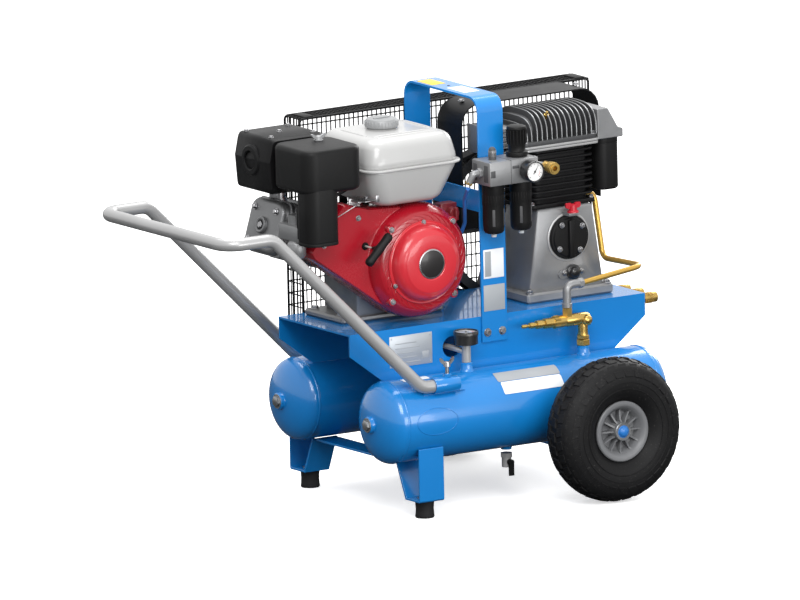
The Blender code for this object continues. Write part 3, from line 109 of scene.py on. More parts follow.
level_right = Vector((cos(AZIMUTH), sin(AZIMUTH), 0))
back = Vector((sin(AZIMUTH) * cos(ELEVATION), -cos(AZIMUTH) * cos(ELEVATION), sin(ELEVATION)))
level_up = back.cross(level_right)
right = level_right * cos(ROLL) + level_up * sin(ROLL)
up = level_up * cos(ROLL) - level_right * sin(ROLL)
camera_data = bpy.data.cameras.new("camera")
camera_data.type = "ORTHO"
camera_data.ortho_scale = VIEW_WIDTH
camera = bpy.data.objects.new("camera", camera_data)
camera.matrix_world = Matrix.Translation(AIM + right * AIM_RIGHT + up * AIM_UP + back * 5) @ Matrix(
    (right, up, back)).transposed().to_4x4()
bpy.context.scene.collection.objects.link(camera)
bpy.context.scene.camera = camera

# ---------------------------------------------------------------- air tanks
# Two steel tanks lie side by side: a rolled shell with a dished head welded on each end, thick
# blue enamel over everything, and sockets, a drain boss and a handle sleeve welded on.
TANK_RADIUS = 0.085
TANK_Y = 0.1686
TANK_Z = 0.1977
TANK_HEAD = 0.04
TANK_ENDS = (-0.1775, 0.52)
NOZZLE_TOP = 0.3
GAUGE_X, VALVE_X, DRAIN_X = 0.0605, 0.3463, 0.153
SLEEVE_Y, SLEEVE_Z = 0.2345, 0.2745
SLEEVE_ENDS = (-0.066, -0.006)
AZURE = (0.005, 0.19, 0.54)
SIDES = (("near", -1), ("far", 1))


class Socket:
    """A node's output; arithmetic on it adds Math nodes."""

    def __init__(self, graph, socket):
        self.graph, self.socket = graph, socket

    def maths(self, operation, *values):
        return self.graph.add("ShaderNodeMath", {"operation": operation}, *values)

    def __add__(self, other):
        return self.maths("ADD", self, other)

    def __sub__(self, other):
        return self.maths("SUBTRACT", self, other)

    def __rsub__(self, other):
        return self.maths("SUBTRACT", other, self)

    def __mul__(self, other):
        return self.maths("MULTIPLY", self, other)

    def __gt__(self, other):
        return self.maths("GREATER_THAN", self, other)

    __radd__ = __add__
    __rmul__ = __mul__


class Graph:
    """Adds nodes to a shader or geometry tree."""

    def __init__(self, tree):
        self.tree = tree

    def put(self, socket, value):
        if isinstance(value, Socket):
            self.tree.links.new(value.socket, socket)
        elif value is not None:
            socket.default_value = value

    def add(self, kind, settings=None, *values, out=0, **named):
        """A node with its settings first, then its inputs by order or by name (_ for a space)."""
        node = self.tree.nodes.new(kind)
        for key, value in (settings or {}).items():
            setattr(node, key, value)
        for socket, value in zip(node.inputs, values):
            self.put(socket, value)
        for key, value in named.items():
            self.put(node.inputs[key.replace("_", " ")], value)
        return Socket(self, node.outputs[out])

    def mix(self, factor, first, second):
        """A blend of two colours."""
        node = self.tree.nodes.new("ShaderNodeMix")
        node.data_type = "RGBA"
        self.put(node.inputs[0], factor)
        for socket, colour in ((node.inputs[6], first), (node.inputs[7], second)):
            self.put(socket, colour if isinstance(colour, Socket) else (*colour, 1.0))
        return Socket(self, node.outputs[2])

    def noise(self, place, scale, detail=3.0):
        return self.add("ShaderNodeTexNoise", None, Vector=place, Scale=scale, Detail=detail)


def finish(name, colour, roughness, metallic=0.0, coat=0.0, grain=(900.0, 0.04), patch=(14.0, 0.1),
           worn=None, streak=None):
    """A surface finish.

    grain is the scale and the depth of the fine relief; patch is the scale and the strength of the broad
    change in tone and gloss. worn is a second colour that shows in small specks, with its amount, and
    streak stretches the grain along one axis, as on brushed or drawn metal.
    """
    material = bpy.data.materials.new(name)
    material.use_nodes = True
    graph = Graph(material.node_tree)
    shader = material.node_tree.nodes["Principled BSDF"]
    place = graph.add("ShaderNodeTexCoord", out=3)
    fine_place = graph.add("ShaderNodeMapping", None, Vector=place, Scale=streak) if streak else place
    broad = graph.noise(place, patch[0])
    fine = graph.noise(fine_place, grain[0], 2.0)
    deep = tuple(c * (1 - patch[1] * 2.2) for c in colour)
    light = tuple(min(1, c * (1 + patch[1] * 1.4)) for c in colour)
    tone = graph.mix(broad, deep, light)
    if worn:
        specks = (graph.noise(place, 260.0, 4.0) > 0.5 + worn[1]) * 1.0
        tone = graph.mix(specks, tone, worn[0])
    graph.put(shader.inputs["Base Color"], tone)
    graph.put(shader.inputs["Roughness"],
              roughness + (broad - 0.5) * (patch[1] * 1.6) + (fine - 0.5) * 0.06)
    graph.put(shader.inputs["Normal"], graph.add("ShaderNodeBump", None, Strength=1.0,
                                                 Distance=grain[1] * 0.001, Height=fine))
    shader.inputs["Metallic"].default_value = metallic
    shader.inputs["Coat Weight"].default_value = coat
    shader.inputs["Coat Roughness"].default_value = 0.06
    return material


def aimed(place, axis=UP, spin=0.0):
    """The matrix that takes a shape from its own frame, with its axis along Z, to its place."""
    turn = Vector(UP).rotation_difference(Vector(axis).normalized()).to_matrix().to_4x4()
    return Matrix.Translation(place) @ turn @ Matrix.Rotation(spin, 4, "Z")


class Shape:
    """The mesh of one piece, put together from closed lofts. skin numbers the finish of each."""

    def __init__(self):
        self.bm = bmesh.new()

    def loft(self, rings, skin=0, loop=False):
        """Faces from ring to ring. A ring of one point is a tip, and open ends are capped."""
        rows = [[self.bm.verts.new(point) for point in ring] for ring in rings]
        pairs = list(zip(rows, rows[1:])) + ([(rows[-1], rows[0])] if loop else [])
        faces = []
        for one, two in pairs:
            count = max(len(one), len(two))
            for i in range(count):
                j = i + 1
                corners = [one[i % len(one)], one[j % len(one)], two[j % len(two)], two[i % len(two)]]
                corners = list(dict.fromkeys(corners))
                if len(corners) > 2:
                    faces.append(self.bm.faces.new(corners))
        if not loop:
            faces += [self.bm.faces.new(row) for row in (rows[0], rows[-1]) if len(row) > 2]
        for face in faces:
            face.material_index = skin
        bmesh.ops.recalc_face_normals(self.bm, faces=faces)

    def turned(self, profile, at, steps=48, skin=0, loop=False):
        """A turned solid from its (radius, height) points; loop closes the profile on itself."""
        rings = []
        for radius, height in profile:
            if radius < 1e-6:
                rings.append([at @ Vector((0, 0, height))])
            else:
                angles = [2 * pi * i / steps for i in range(steps)]
                rings.append([at @ Vector((radius * cos(a), radius * sin(a), height)) for a in angles])
        self.loft(rings, skin, loop)

    def disc(self, radius, start, end, axis, place, steps=32, skin=0, edge=0.0008):
        """A short cylinder with chamfered edges, from start to end along the axis."""
        edge = min(edge, (end - start) * 0.4)
        profile = [(0, end), (radius - edge, end), (radius, end - edge), (radius, start + edge),
                   (radius - edge, start), (0, start)]
        self.turned(profile, aimed(place, axis), steps, skin)

    def block(self, low, high, corner=0.002, edge=0.001, at=None, top=(1, 1), skin=0, segments=4):
        """A box with rounded upright corners and rounded rims; top scales its upper face."""
        low, high, at = Vector(low), Vector(high), at or Matrix()
        middle, half = (low + high) / 2, (high - low) / 2
        corner = min(corner, half.x * 0.98, half.y * 0.98)
        steps = max(1, segments // 2)
        levels = [(edge * (1 - sin(pi / 2 * i / steps)), low.z + edge * (1 - cos(pi / 2 * i / steps)))
                  for i in range(steps + 1)]
        levels += [(inset, high.z + low.z - z) for inset, z in reversed(levels)]
        rings = []
        for inset, z in levels:
            grow = (z - low.z) / (high.z - low.z)
            wide = half.x * (1 + (top[0] - 1) * grow) - inset
            deep = half.y * (1 + (top[1] - 1) * grow) - inset
            bend = max(corner - inset, 0.0002)
            ring = []
            for quarter in range(4):
                sx, sy = ((1, 1), (-1, 1), (-1, -1), (1, -1))[quarter]
                for i in range(segments + 1):
                    a = pi / 2 * (quarter + i / segments)
                    ring.append(at @ Vector((middle.x + sx * (wide - bend) + bend * cos(a),
                                             middle.y + sy * (deep - bend) + bend * sin(a), z)))
            rings.append(ring)
        self.loft(rings, skin)

    def prism(self, outline, start, end, plane="XZ", skin=0, edge=0.0, at=None):
        """An outline given thickness along the third axis; edge chamfers the two faces."""
        place = {"XY": lambda u, v, w: (u, v, w), "XZ": lambda u, v, w: (u, w, v),
                 "YZ": lambda u, v, w: (w, u, v)}[plane]
        at = at or Matrix()
        centre = Vector([sum(p[i] for p in outline) / len(outline) for i in (0, 1)])
        reach = max((Vector(p) - centre).length for p in outline)
        small = 1 - edge / reach
        levels = [(1, start), (1, end)]
        if edge:
            levels = [(small, start), (1, start + edge), (1, end - edge), (small, end)]
        self.loft([[at @ Vector(place(centre.x + (u - centre.x) * k, centre.y + (v - centre.y) * k, w))
                    for u, v in outline] for k, w in levels], skin)

    def pipe(self, path, radius, sides=20, skin=0, loop=False, flat=1.0):
        """A round bar along a path; flat squeezes its section, and the radius may change."""
        path = [Vector(p) for p in path]
        count = len(path)
        radii = radius if isinstance(radius, (list, tuple)) else [radius] * count
        rings, side = [], None
        for i, point in enumerate(path):
            ahead = path[(i + 1) % count] if loop or i + 1 < count else point
            behind = path[i - 1] if loop or i else point
            along = (ahead - behind).normalized()
            if side is None:
                side = along.orthogonal().normalized()
            side = (side - along * side.dot(along)).normalized()
            other = along.cross(side)
            rings.append([point + (side * cos(2 * pi * k / sides)
                                   + other * sin(2 * pi * k / sides) * flat) * radii[i]
                          for k in range(sides)])
        self.loft(rings, skin, loop)

    def wings(self, outline, half, edge, at):
        """Two flat wings of one outline, to the left and to the right."""
        for way in (-1, 1):
            self.prism([(way * u, w) for u, w in outline], -half, half, "XZ", 0, edge, at)

    def bolt(self, place, axis, size=0.005, height=0.0045, washer=True, skin=0):
        """A hexagon head on a washer."""
        foot = 0.0
        if washer:
            self.disc(size * 1.35, 0, 0.0012, axis, place, 24, skin, 0.0003)
            foot = 0.0012
        self.turned([(0, foot + height), (size * 0.82, foot + height), (size, foot + height * 0.82),
                     (size, foot), (0, foot)], aimed(place, axis, 0.3), 6, skin)

    def take(self, mesh, at=None, skin=0):
        """Adds another mesh, such as a repeated part, at its place."""
        count = len(self.bm.faces)
        mesh.transform(at or Matrix())
        self.bm.from_mesh(mesh)
        self.bm.faces.ensure_lookup_table()
        for face in self.bm.faces[count:]:
            face.material_index = skin
        bpy.data.meshes.remove(mesh)

    def mesh(self, name):
        mesh = bpy.data.meshes.new(name)
        self.bm.to_mesh(mesh)
        self.bm.free()
        return mesh

    def done(self, name, body, finishes, slot, replaces=(), bevel=0.0, angle=38.0):
        """Makes the piece, gives it its finishes and fixes it to its body."""
        mesh = self.mesh(name)
        for material in finishes:
            mesh.materials.append(material)
        mesh.set_sharp_from_angle(angle=radians(angle))
        mesh.shade_smooth()
        obj = bpy.data.objects.new(name, mesh)
        bpy.context.scene.collection.objects.link(obj)
        if bevel:
            rounding = obj.modifiers.new("edges", "BEVEL")
            rounding.width = bevel
            rounding.segments = 2
            rounding.limit_method = "ANGLE"
            rounding.angle_limit = radians(32)
            rounding.harden_normals = True
        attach(obj, body)
        if replaces:
            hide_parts(*replaces)
        return obj


def arc(centre, radius, first, last, steps):
    """Points on an arc, with the angles in degrees."""
    angles = [radians(first + (last - first) * i / steps) for i in range(steps + 1)]
    return [(centre[0] + radius * cos(a), centre[1] + radius * sin(a)) for a in angles]


azure = finish("azure_enamel", AZURE, 0.24, 0.0, 0.6, (300.0, 0.05), (7.0, 0.05))
plug_zinc = finish("plug_zinc", (0.36, 0.37, 0.38), 0.34, 0.9, 0.0, (700.0, 0.05), (40.0, 0.15))
sticker_grey = finish("sticker_grey", (0.33, 0.35, 0.37), 0.42, 0.0, 0.1, (500.0, 0.01), (20.0, 0.04))
sticker_white = finish("sticker_white", (0.8, 0.82, 0.84), 0.38, 0.0, 0.1, (500.0, 0.01), (20.0, 0.03))


def on_tank(x, angle, sign, lift=0.0):
    """A point on a tank's skin; the angle is measured from the top towards the outside."""
    reach = TANK_RADIUS + lift
    return Vector((x, sign * (TANK_Y + reach * sin(angle)), TANK_Z + reach * cos(angle)))


def tank_sticker(shape, xs, angles, skin, sign=-1, corner=0.003):
    """A thin film that follows the tank's curve."""
    outline = []
    steps = 10
    # the film is cut in strips round the tank, so that it bends with the shell
    for k in range(steps):
        low = angles[0] + (angles[1] - angles[0]) * k / steps
        high = angles[0] + (angles[1] - angles[0]) * (k + 1) / steps
        inset = corner * 0.45 if k in (0, steps - 1) else 0.0
        corners = [(xs[0] + inset, low), (xs[1] - inset, low), (xs[1] - inset, high), (xs[0] + inset, high)]
        shape.loft([[on_tank(x, radians(a), sign, lift) for x, a in corners] for lift in (0.0003, 0.0008)],
                   skin)


for side, sign in SIDES:
    tank = Shape()
    dish = [(TANK_RADIUS * sin(pi / 2 * i / 14), TANK_HEAD * cos(pi / 2 * i / 14)) for i in range(15)]
    half = (TANK_ENDS[1] - TANK_ENDS[0]) / 2 - TANK_HEAD
    middle = ((TANK_ENDS[0] + TANK_ENDS[1]) / 2, sign * TANK_Y, TANK_Z)
    shell = [(r, half + z) for r, z in dish]
    tank.turned(shell + [(r, -z) for r, z in reversed(shell)], aimed(middle, OUTER), 96)
    for end, way in ((TANK_ENDS[0], -1), (TANK_ENDS[1], 1)):
        # the circular weld between shell and head, and the end boss with its hexagon plug
        seam_x = end - way * (TANK_HEAD + 0.002)
        bead = [(TANK_RADIUS + 0.0012 * sin(a),
                 0.0028 * cos(a)) for a in [2 * pi * i / 8 for i in range(8)]]
        tank.turned(bead, aimed((seam_x, sign * TANK_Y, TANK_Z), OUTER), 96, 0, True)
        place = (end - way * 0.004, sign * TANK_Y, TANK_Z)
        tank.turned([(0, 0.012), (0.015, 0.012), (0.017, 0.01), (0.0175, 0.002), (0.0205, -0.002),
                     (0, -0.002)], aimed(place, (way, 0, 0)), 40)
        plug = (end + way * 0.008, sign * TANK_Y, TANK_Z)
        tank.bolt(plug, (way, 0, 0), 0.0112, 0.005, True, 1)
    stubs = [GAUGE_X, VALVE_X] if sign < 0 else [GAUGE_X]
    for x in stubs:
        place = (x, sign * TANK_Y, TANK_Z + TANK_RADIUS - 0.004)
        rise = NOZZLE_TOP - place[2]
        tank.turned([(0.007, rise - 0.012), (0.007, rise - 0.001), (0.008, rise), (0.0117, rise),
                     (0.0125, rise - 0.001), (0.0125, 0.0085), (0.015, 0.0035), (0.0175, 0), (0, 0),
                     (0, rise - 0.012)], aimed(place), 40)
    tank.turned([(0, 0.007), (0.014, 0.007), (0.0125, 0.009), (0.011, 0.0115), (0.011, 0.0145),
                 (0, 0.0145)],
                aimed((DRAIN_X, sign * TANK_Y, TANK_Z - TANK_RADIUS + 0.002 + 0.007), DOWN), 32)
    # the sleeve that takes the handle's end, its saddle and the boss of its thumbscrew
    sleeve_at = aimed((SLEEVE_ENDS[0], sign * SLEEVE_Y, SLEEVE_Z), OUTER)
    length = SLEEVE_ENDS[1] - SLEEVE_ENDS[0]
    tank.turned([(0.01375, 0.0005), (0.015, 0), (0.01625, 0), (0.01685, 0.0008), (0.01685, length - 0.0008),
                 (0.01625, length), (0.015, length), (0.01375, length - 0.0005)], sleeve_at, 40, 0, True)
    tank.disc(0.0085, 0.0155, 0.0228, UP, (-0.03, sign * SLEEVE_Y, SLEEVE_Z), 32)
    outward = atan2(SLEEVE_Y - TANK_Y, SLEEVE_Z - TANK_Z)
    saddle = []
    for lift in (0.0, 0.0035):
        for x in (-0.086, 0.014):
            saddle.append([on_tank(x, outward + a, sign, lift) for a in (-0.11, -0.055, 0.0, 0.055, 0.11)])
    tank.loft([saddle[0] + saddle[2][::-1], saddle[1] + saddle[3][::-1]])
    if sign < 0:
        # raised oval panel pressed into the front, and the plain stickers
        oval = [(-0.067 + 0.0495 * cos(a),
                 1.5 + 0.33 * sin(a)) for a in [2 * pi * k / 48 for k in range(48)]]
        tank.pipe([on_tank(x, a, sign, 0.0) for x, a in oval], 0.0012, 8, 0, True, 0.6)
        tank_sticker(tank, (0.1, 0.252), (24, 42), 2)
        tank_sticker(tank, (0.104, 0.25), (43, 62), 3)
        tank_sticker(tank, (-0.105, -0.042), (2, 13), 3)
    tank.done("air_tank_" + side, "chassis", (azure, plug_zinc, sticker_grey, sticker_white), "blue_enamel",
              ("tank_" + side,))

# ---------------------------------------------------------------- platform, roll bar and feet
# Folded and welded steel sheet in the same enamel: a deep channel over the tanks, a strap bent into
# a lifting bow with a cross plate, and strap feet that stand on bolted rubber buffers.
def reworked(node):
    """A shape that starts as a merged copy of a frame solid, with its flat faces made whole."""
    shape = Shape()
    shape.bm.from_mesh(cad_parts[node].data)
    bmesh.ops.remove_doubles(shape.bm, verts=shape.bm.verts, dist=0.00002)
    bmesh.ops.dissolve_limit(shape.bm, angle_limit=radians(0.8), verts=shape.bm.verts, edges=shape.bm.edges)
    for face in shape.bm.faces:
        face.material_index = 0
    return shape


zinc = finish("zinc_plate", (0.42, 0.42, 0.43), 0.3, 1.0, 0.0, (800.0, 0.05), (60.0, 0.16))
sticker_yellow = finish("sticker_yellow", (0.75, 0.5, 0.04), 0.4, 0.0, 0.1, (500.0, 0.01), (20.0, 0.03))
plate_silver = finish("rating_plate", (0.42, 0.45, 0.48), 0.35, 0.4, 0.0, (500.0, 0.01), (30.0, 0.05))
rubber = finish("black_rubber", (0.016, 0.016, 0.017), 0.62, 0.0, 0.0, (1100.0, 0.1), (30.0, 0.12))

reworked("platform").done("platform_sheet", "chassis", (azure,), "blue_enamel", ("platform",), 0.002)
PLATFORM_SIDE = -0.1333

plates = Shape()
plates.block((-0.104, PLATFORM_SIDE - 0.0008, 0.301), (0.0, PLATFORM_SIDE + 0.0004, 0.366), 0.0002,
             0.0002, skin=0)
for u in (-0.099, -0.005):
    for w in (0.306, 0.361):
        plates.disc(0.002, 0.0006, 0.0016, FRONT, (u, PLATFORM_SIDE, w), 12, 0, 0.0004)
for row in range(5):
    plates.block((-0.09, PLATFORM_SIDE - 0.0011, 0.308 + row * 0.01),
                 (-0.03 - 0.008 * (row % 3), PLATFORM_SIDE, 0.3105 + row * 0.01), 0.0002, 0.0001, skin=1)
plates.block((-0.024, PLATFORM_SIDE - 0.0011, 0.312), (-0.008, PLATFORM_SIDE, 0.328), 0.0002, 0.0001,
             skin=1)
plates.done("rating_plate", "chassis", (plate_silver, sticker_grey), "blue_enamel")

BAR_SIDE = -0.1386
BAR_X = (0.1206, 0.1818)
BAR_MIDDLE = 0.1512
roll_bar = reworked("roll_bar")
roll_bar.done("roll_bar_strap", "chassis", (azure,), "blue_enamel", ("roll_bar",), 0.0012)
fittings = Shape()
for sign in (-1, 1):
    for x in (BAR_MIDDLE - 0.018, BAR_MIDDLE + 0.018):
        fittings.bolt((x, -sign * BAR_SIDE, 0.348), (0, sign, 0), 0.0065, 0.005)
fittings.block((BAR_X[0] + 0.006, BAR_SIDE - 0.0006, 0.46), (BAR_X[1] - 0.006, BAR_SIDE + 0.0002, 0.52),
               0.0002, 0.0002, skin=1)
fittings.block((BAR_X[0] + 0.009, BAR_SIDE - 0.0009, 0.464), (BAR_X[0] + 0.024, BAR_SIDE, 0.516), 0.0002,
               0.0001, skin=2)
fittings.block((BAR_X[0] + 0.005, BAR_SIDE - 0.0006, 0.392), (BAR_X[1] - 0.005, BAR_SIDE + 0.0002, 0.446),
               0.0002, 0.0002, skin=2)
fittings.block((BAR_X[0] + 0.006, 0.04, 0.8378), (BAR_X[1] - 0.022, 0.098, 0.8386), 0.001, 0.0002, skin=3)
fittings.block((BAR_X[0] + 0.012, -0.072, 0.8378), (BAR_X[1] - 0.012, -0.005, 0.8386), 0.001, 0.0002,
               skin=1)
# a thin black disc on the bar's top in place of a hole: painted shade
fittings.disc(0.0035, 0, 0.0006, UP, (BAR_MIDDLE, 0.016, 0.838), 20, 4, 0.0002)
black_gloss = finish("black_gloss", (0.012, 0.012, 0.013), 0.28, 0.0, 0.2, (600.0, 0.02), (20.0, 0.06))
fittings.done("roll_bar_fittings", "chassis", (zinc, sticker_white, sticker_grey, sticker_yellow,
                                               black_gloss), "zinc_steel")

reworked("foot_crossbar").done("foot_crossbar_plate", "chassis", (azure,), "blue_enamel",
                               ("foot_crossbar",), 0.001)
for side, sign in SIDES:
    reworked("foot_bracket_" + side).done("foot_strap_" + side, "chassis", (azure,), "blue_enamel",
                                          ("foot_bracket_" + side,), 0.0012)
    foot = Shape()
    x, y = -0.079, sign * 0.2147
    foot.turned([(0, 0.0355), (0.0188, 0.0355), (0.02, 0.034), (0.0192, 0.029), (0.0186, 0.018),
                 (0.0192, 0.008), (0.02, 0.003), (0.0185, 0), (0, 0)], aimed((x, y, 0)), 48)
    foot.disc(0.016, 0, 0.0016, UP, (x, y, 0.041), 32, 1)
    foot.bolt((x, y, 0.0426), UP, 0.0065, 0.0055, False, 1)
    foot.done("rubber_buffer_" + side, "chassis", (rubber, zinc), "black_rubber", ("rubber_foot_" + side,))

# ---------------------------------------------------------------- axle and wheels
# A square tube runs under both tanks and ends in welded plates that carry stub axles. Each wheel is
# a pneumatic block-tread tyre on a grey moulded rim with stiffening ribs, kept on by a push cap.
WHEEL_X, WHEEL_Y, WHEEL_Z = 0.32, 0.316, 0.15
reworked("axle_beam").done("axle_tube", "chassis", (azure,), "blue_enamel", ("axle_beam",), 0.001)


def repeater(name, line):
    """A tree that repeats its own geometry round Z, or along a line, and gives it a finish."""
    tree = bpy.data.node_groups.new(name, "GeometryNodeTree")
    tree.interface.new_socket("Geometry", in_out="INPUT", socket_type="NodeSocketGeometry")
    names = [("Count", "NodeSocketInt"), ("Material", "NodeSocketMaterial")]
    names += [("Step", "NodeSocketVector")] if line else [("Turn", "NodeSocketFloat")]
    keys = {key: tree.interface.new_socket(key, in_out="INPUT", socket_type=kind).identifier
            for key, kind in names}
    tree.interface.new_socket("Geometry", in_out="OUTPUT", socket_type="NodeSocketGeometry")
    graph = Graph(tree)
    source = tree.nodes.new("NodeGroupInput")
    given = {socket.name: Socket(graph, socket) for socket in source.outputs if socket.name}
    index = graph.add("GeometryNodeInputIndex")
    if line:
        points = graph.add("GeometryNodeMeshLine", {"mode": "OFFSET"}, Count=given["Count"],
                           Offset=given["Step"])
        placed = graph.add("GeometryNodeInstanceOnPoints", None, Points=points, Instance=given["Geometry"])
    else:
        points = graph.add("GeometryNodeMeshLine", {"mode": "OFFSET"}, Count=given["Count"],
                           Offset=(0, 0, 0))
        angle = graph.add("ShaderNodeCombineXYZ", None, 0.0, 0.0, index * given["Turn"])
        placed = graph.add("GeometryNodeInstanceOnPoints", None, Points=points, Instance=given["Geometry"],
                           Rotation=angle)
    whole = graph.add("GeometryNodeRealizeInstances", None, placed)
    painted = graph.add("GeometryNodeSetMaterial", None, Geometry=whole, Material=given["Material"])
    graph.put(tree.nodes.new("NodeGroupOutput").inputs[0], painted)
    return tree, keys


ROUND, ROUND_KEYS = repeater("copies_round_an_axis", False)
ALONG, ALONG_KEYS = repeater("copies_along_a_line", True)


def grown(shape, tree, values):
    """The plain mesh that a tree makes from a shape."""
    obj = bpy.data.objects.new("seed", shape.mesh("seed"))
    bpy.context.scene.collection.objects.link(obj)
    modifier = obj.modifiers.new("copies", "NODES")
    modifier.node_group = tree
    for key, value in values.items():
        modifier[key] = value
    graph = bpy.context.evaluated_depsgraph_get()
    mesh = bpy.data.meshes.new_from_object(obj.evaluated_get(graph))
    bpy.data.objects.remove(obj)
    return mesh


def ring_of(shape, count, material):
    """Copies of a shape all the way round Z."""
    return grown(shape, ROUND, {ROUND_KEYS["Count"]: count, ROUND_KEYS["Turn"]: 2 * pi / count,
                                ROUND_KEYS["Material"]: material})


def row_of(shape, count, step, material):
    """Copies of a shape in a straight row."""
    return grown(shape, ALONG, {ALONG_KEYS["Count"]: count, ALONG_KEYS["Step"]: step,
                                ALONG_KEYS["Material"]: material})


tyre_rubber = finish("tyre_rubber", (0.008, 0.008, 0.0085), 0.55, 0.0, 0.0, (500.0, 0.12), (18.0, 0.14),
                     ((0.03, 0.029, 0.028), 0.16))
rim_plastic = finish("rim_plastic", (0.155, 0.158, 0.165), 0.42, 0.0, 0.0, (900.0, 0.05), (20.0, 0.06))
cap_blue = finish("cap_blue", (0.02, 0.17, 0.52), 0.35, 0.0, 0.1, (700.0, 0.02), (20.0, 0.05))
for side, sign in SIDES:
    hub = aimed((WHEEL_X, sign * WHEEL_Y, WHEEL_Z), (0, sign, 0))
    tyre = Shape()
    crown = [(0.051, 0.0295), (0.064, 0.03), (0.069, 0.0345), (0.076, 0.042), (0.086, 0.0468),
             (0.098, 0.0488), (0.11, 0.0484), (0.122, 0.0458), (0.133, 0.0405), (0.141, 0.031),
             (0.145, 0.018), (0.1462, 0.0)]
    tyre.turned(crown + [(r, -z) for r, z in reversed(crown[:-1])] + [(0.05, -0.02), (0.05, 0.02)], hub, 96,
                0, True)
    for z, radius in ((0.0482, 0.09), (0.0492, 0.104)):
        for way in (-1, 1):
            ring = [(radius + 0.0012 * cos(a),
                     way * (z + 0.0008 * sin(a))) for a in [2 * pi * i / 6 for i in range(6)]]
            tyre.turned(ring, hub, 96, 0, True)
    # tread: staggered rows of moulded blocks, the outer rows wrapping over the shoulders
    for row, (z, tilt, count, shift) in enumerate(((0.0, 0, 32, 0.0), (0.0185, 17, 32, 0.5),
                                                   (-0.0185, -17, 32, 0.5),
                                                   (0.035, 47, 32, 0.0), (-0.035, -47, 32, 0.0),
                                                   (0.0438, 66, 32, 0.5), (-0.0438, -66, 32, 0.5))):
        radius = (0.1468, 0.1438, 0.1438, 0.134, 0.134, 0.121, 0.121)[row]
        block = Shape()
        tip = (Matrix.Rotation(2 * pi * shift / count, 4, "Z") @ Matrix.Translation((radius, 0, z))
               @ Matrix.Rotation(radians(90 - tilt), 4, "Y"))
        skew = 0.0035 * (1 if row in (1, 4, 5) else -1)
        block.loft([[tip @ Vector((u * k, v * k + skew * (u > 0), w)) for u, v in
                     ((0.0078, 0.0098), (-0.0078, 0.0098), (-0.0078, -0.0098), (0.0078, -0.0098))]
                    for k, w in ((1.0, -0.004), (0.96, 0.0012), (0.86, 0.0026))])
        tyre.take(ring_of(block, count, tyre_rubber), hub)
    tyre.done("block_tyre_" + side, "wheel_" + side, (tyre_rubber,), "black_rubber", ("tyre_" + side,))

    rim = Shape()
    profile = [(0.0106, 0.0375), (0.0175, 0.0375), (0.019, 0.036), (0.0195, 0.013), (0.0215, 0.0105),
               (0.04, 0.013), (0.044, 0.018), (0.047, 0.029), (0.0525, 0.0352), (0.0555, 0.0368),
               (0.061, 0.0364), (0.063, 0.0345), (0.0628, 0.0305), (0.05, 0.03)]
    rim.turned(profile + [(r, -z) for r, z in reversed(profile)], hub, 96, 0, True)
    for face_way in (0.0, pi):
        flip = Matrix.Rotation(face_way, 4, "X")
        copy = Shape()
        copy.prism([(0.0185, 0.0105), (0.0185, 0.031), (0.025, 0.0265), (0.043, 0.025), (0.048, 0.03),
                    (0.048, 0.012)], -0.0017, 0.0017, "XZ", 0, 0.0005)
        rim.take(ring_of(copy, 12, rim_plastic), hub @ flip)
    rim.turned([(0.0135, 0.0384), (0.018, 0.0384), (0.019, 0.0372), (0.019, 0.035), (0.0135, 0.035)],
               hub, 48, 1, True)
    rim.done("ribbed_rim_" + side, "wheel_" + side, (rim_plastic, plug_zinc), "grey_plastic",
             ("rim_" + side,))
    cap = Shape()
    cap.turned([(0, 0.0445), (0.005, 0.044), (0.0092, 0.042), (0.0108, 0.0395), (0.0112, 0.038),
                (0.013, 0.0377), (0.013, 0.0376), (0, 0.0376)], hub, 48)
    cap.done("axle_cap_" + side, "chassis", (cap_blue,), "blue_enamel")

# ---------------------------------------------------------------- push handle
# One length of steel tube, bent cold at four corners and painted satin silver. Its ends slide in
# the tanks' sleeves and are clamped by wing screws.
HANDLE_RADIUS = 0.01345
HANDLE_CORNERS = ((-0.012, 0.2745), (-0.093, 0.2745), (-0.4485, 0.6265), (-0.561, 0.6265))


def bent(points, radius, steps=10):
    """The route through the corner points with every corner rounded to the radius."""
    points = [Vector(p) for p in points]
    route = [points[0]]
    for before, corner, after in zip(points, points[1:], points[2:]):
        inward, outward = (before - corner).normalized(), (after - corner).normalized()
        angle = inward.angle(outward)
        reach = radius / (sin(angle / 2) / cos(angle / 2))
        centre = corner + (inward + outward).normalized() * (radius / sin(angle / 2))
        start = (corner + inward * reach - centre).normalized()
        end = (corner + outward * reach - centre).normalized()
        route += [centre + start.slerp(end, i / steps) * radius for i in range(steps + 1)]
    return route + [points[-1]]


satin_silver = finish("satin_silver", (0.4, 0.4, 0.4), 0.34, 0.35, 0.15, (500.0, 0.06), (9.0, 0.06))
half_route = [(x, -SLEEVE_Y, z) for x, z in HANDLE_CORNERS]
handle = Shape()
handle.pipe(bent(half_route + [(x, -y, z) for x, y, z in reversed(half_route)], 0.04), HANDLE_RADIUS, 32)
handle.done("handle_tube", "push_handle", (satin_silver,), "satin_paint", ("handle",))
for side, sign in SIDES:
    screw = Shape()
    place = (-0.03, sign * SLEEVE_Y, 0.28825)
    screw.turned([(0, 0.023), (0.004, 0.023), (0.004, 0.0003), (0, 0.0003)], aimed(place), 20)
    screw.turned([(0, 0.034), (0.005, 0.034), (0.0066, 0.0325), (0.0075, 0.0235), (0.0068, 0.0225),
                  (0, 0.0225)], aimed(place), 28)
    screw.wings([(0.004, 0.024), (0.011, 0.029), (0.0165, 0.0345), (0.018, 0.04), (0.016, 0.0425),
                 (0.0125, 0.0415), (0.007, 0.035), (0.004, 0.0325)], 0.0016, 0.0006, aimed(place))
    screw.done("wing_screw_" + side, "thumbscrew_" + side, (zinc,), "zinc_steel", ("thumbscrew_" + side,))

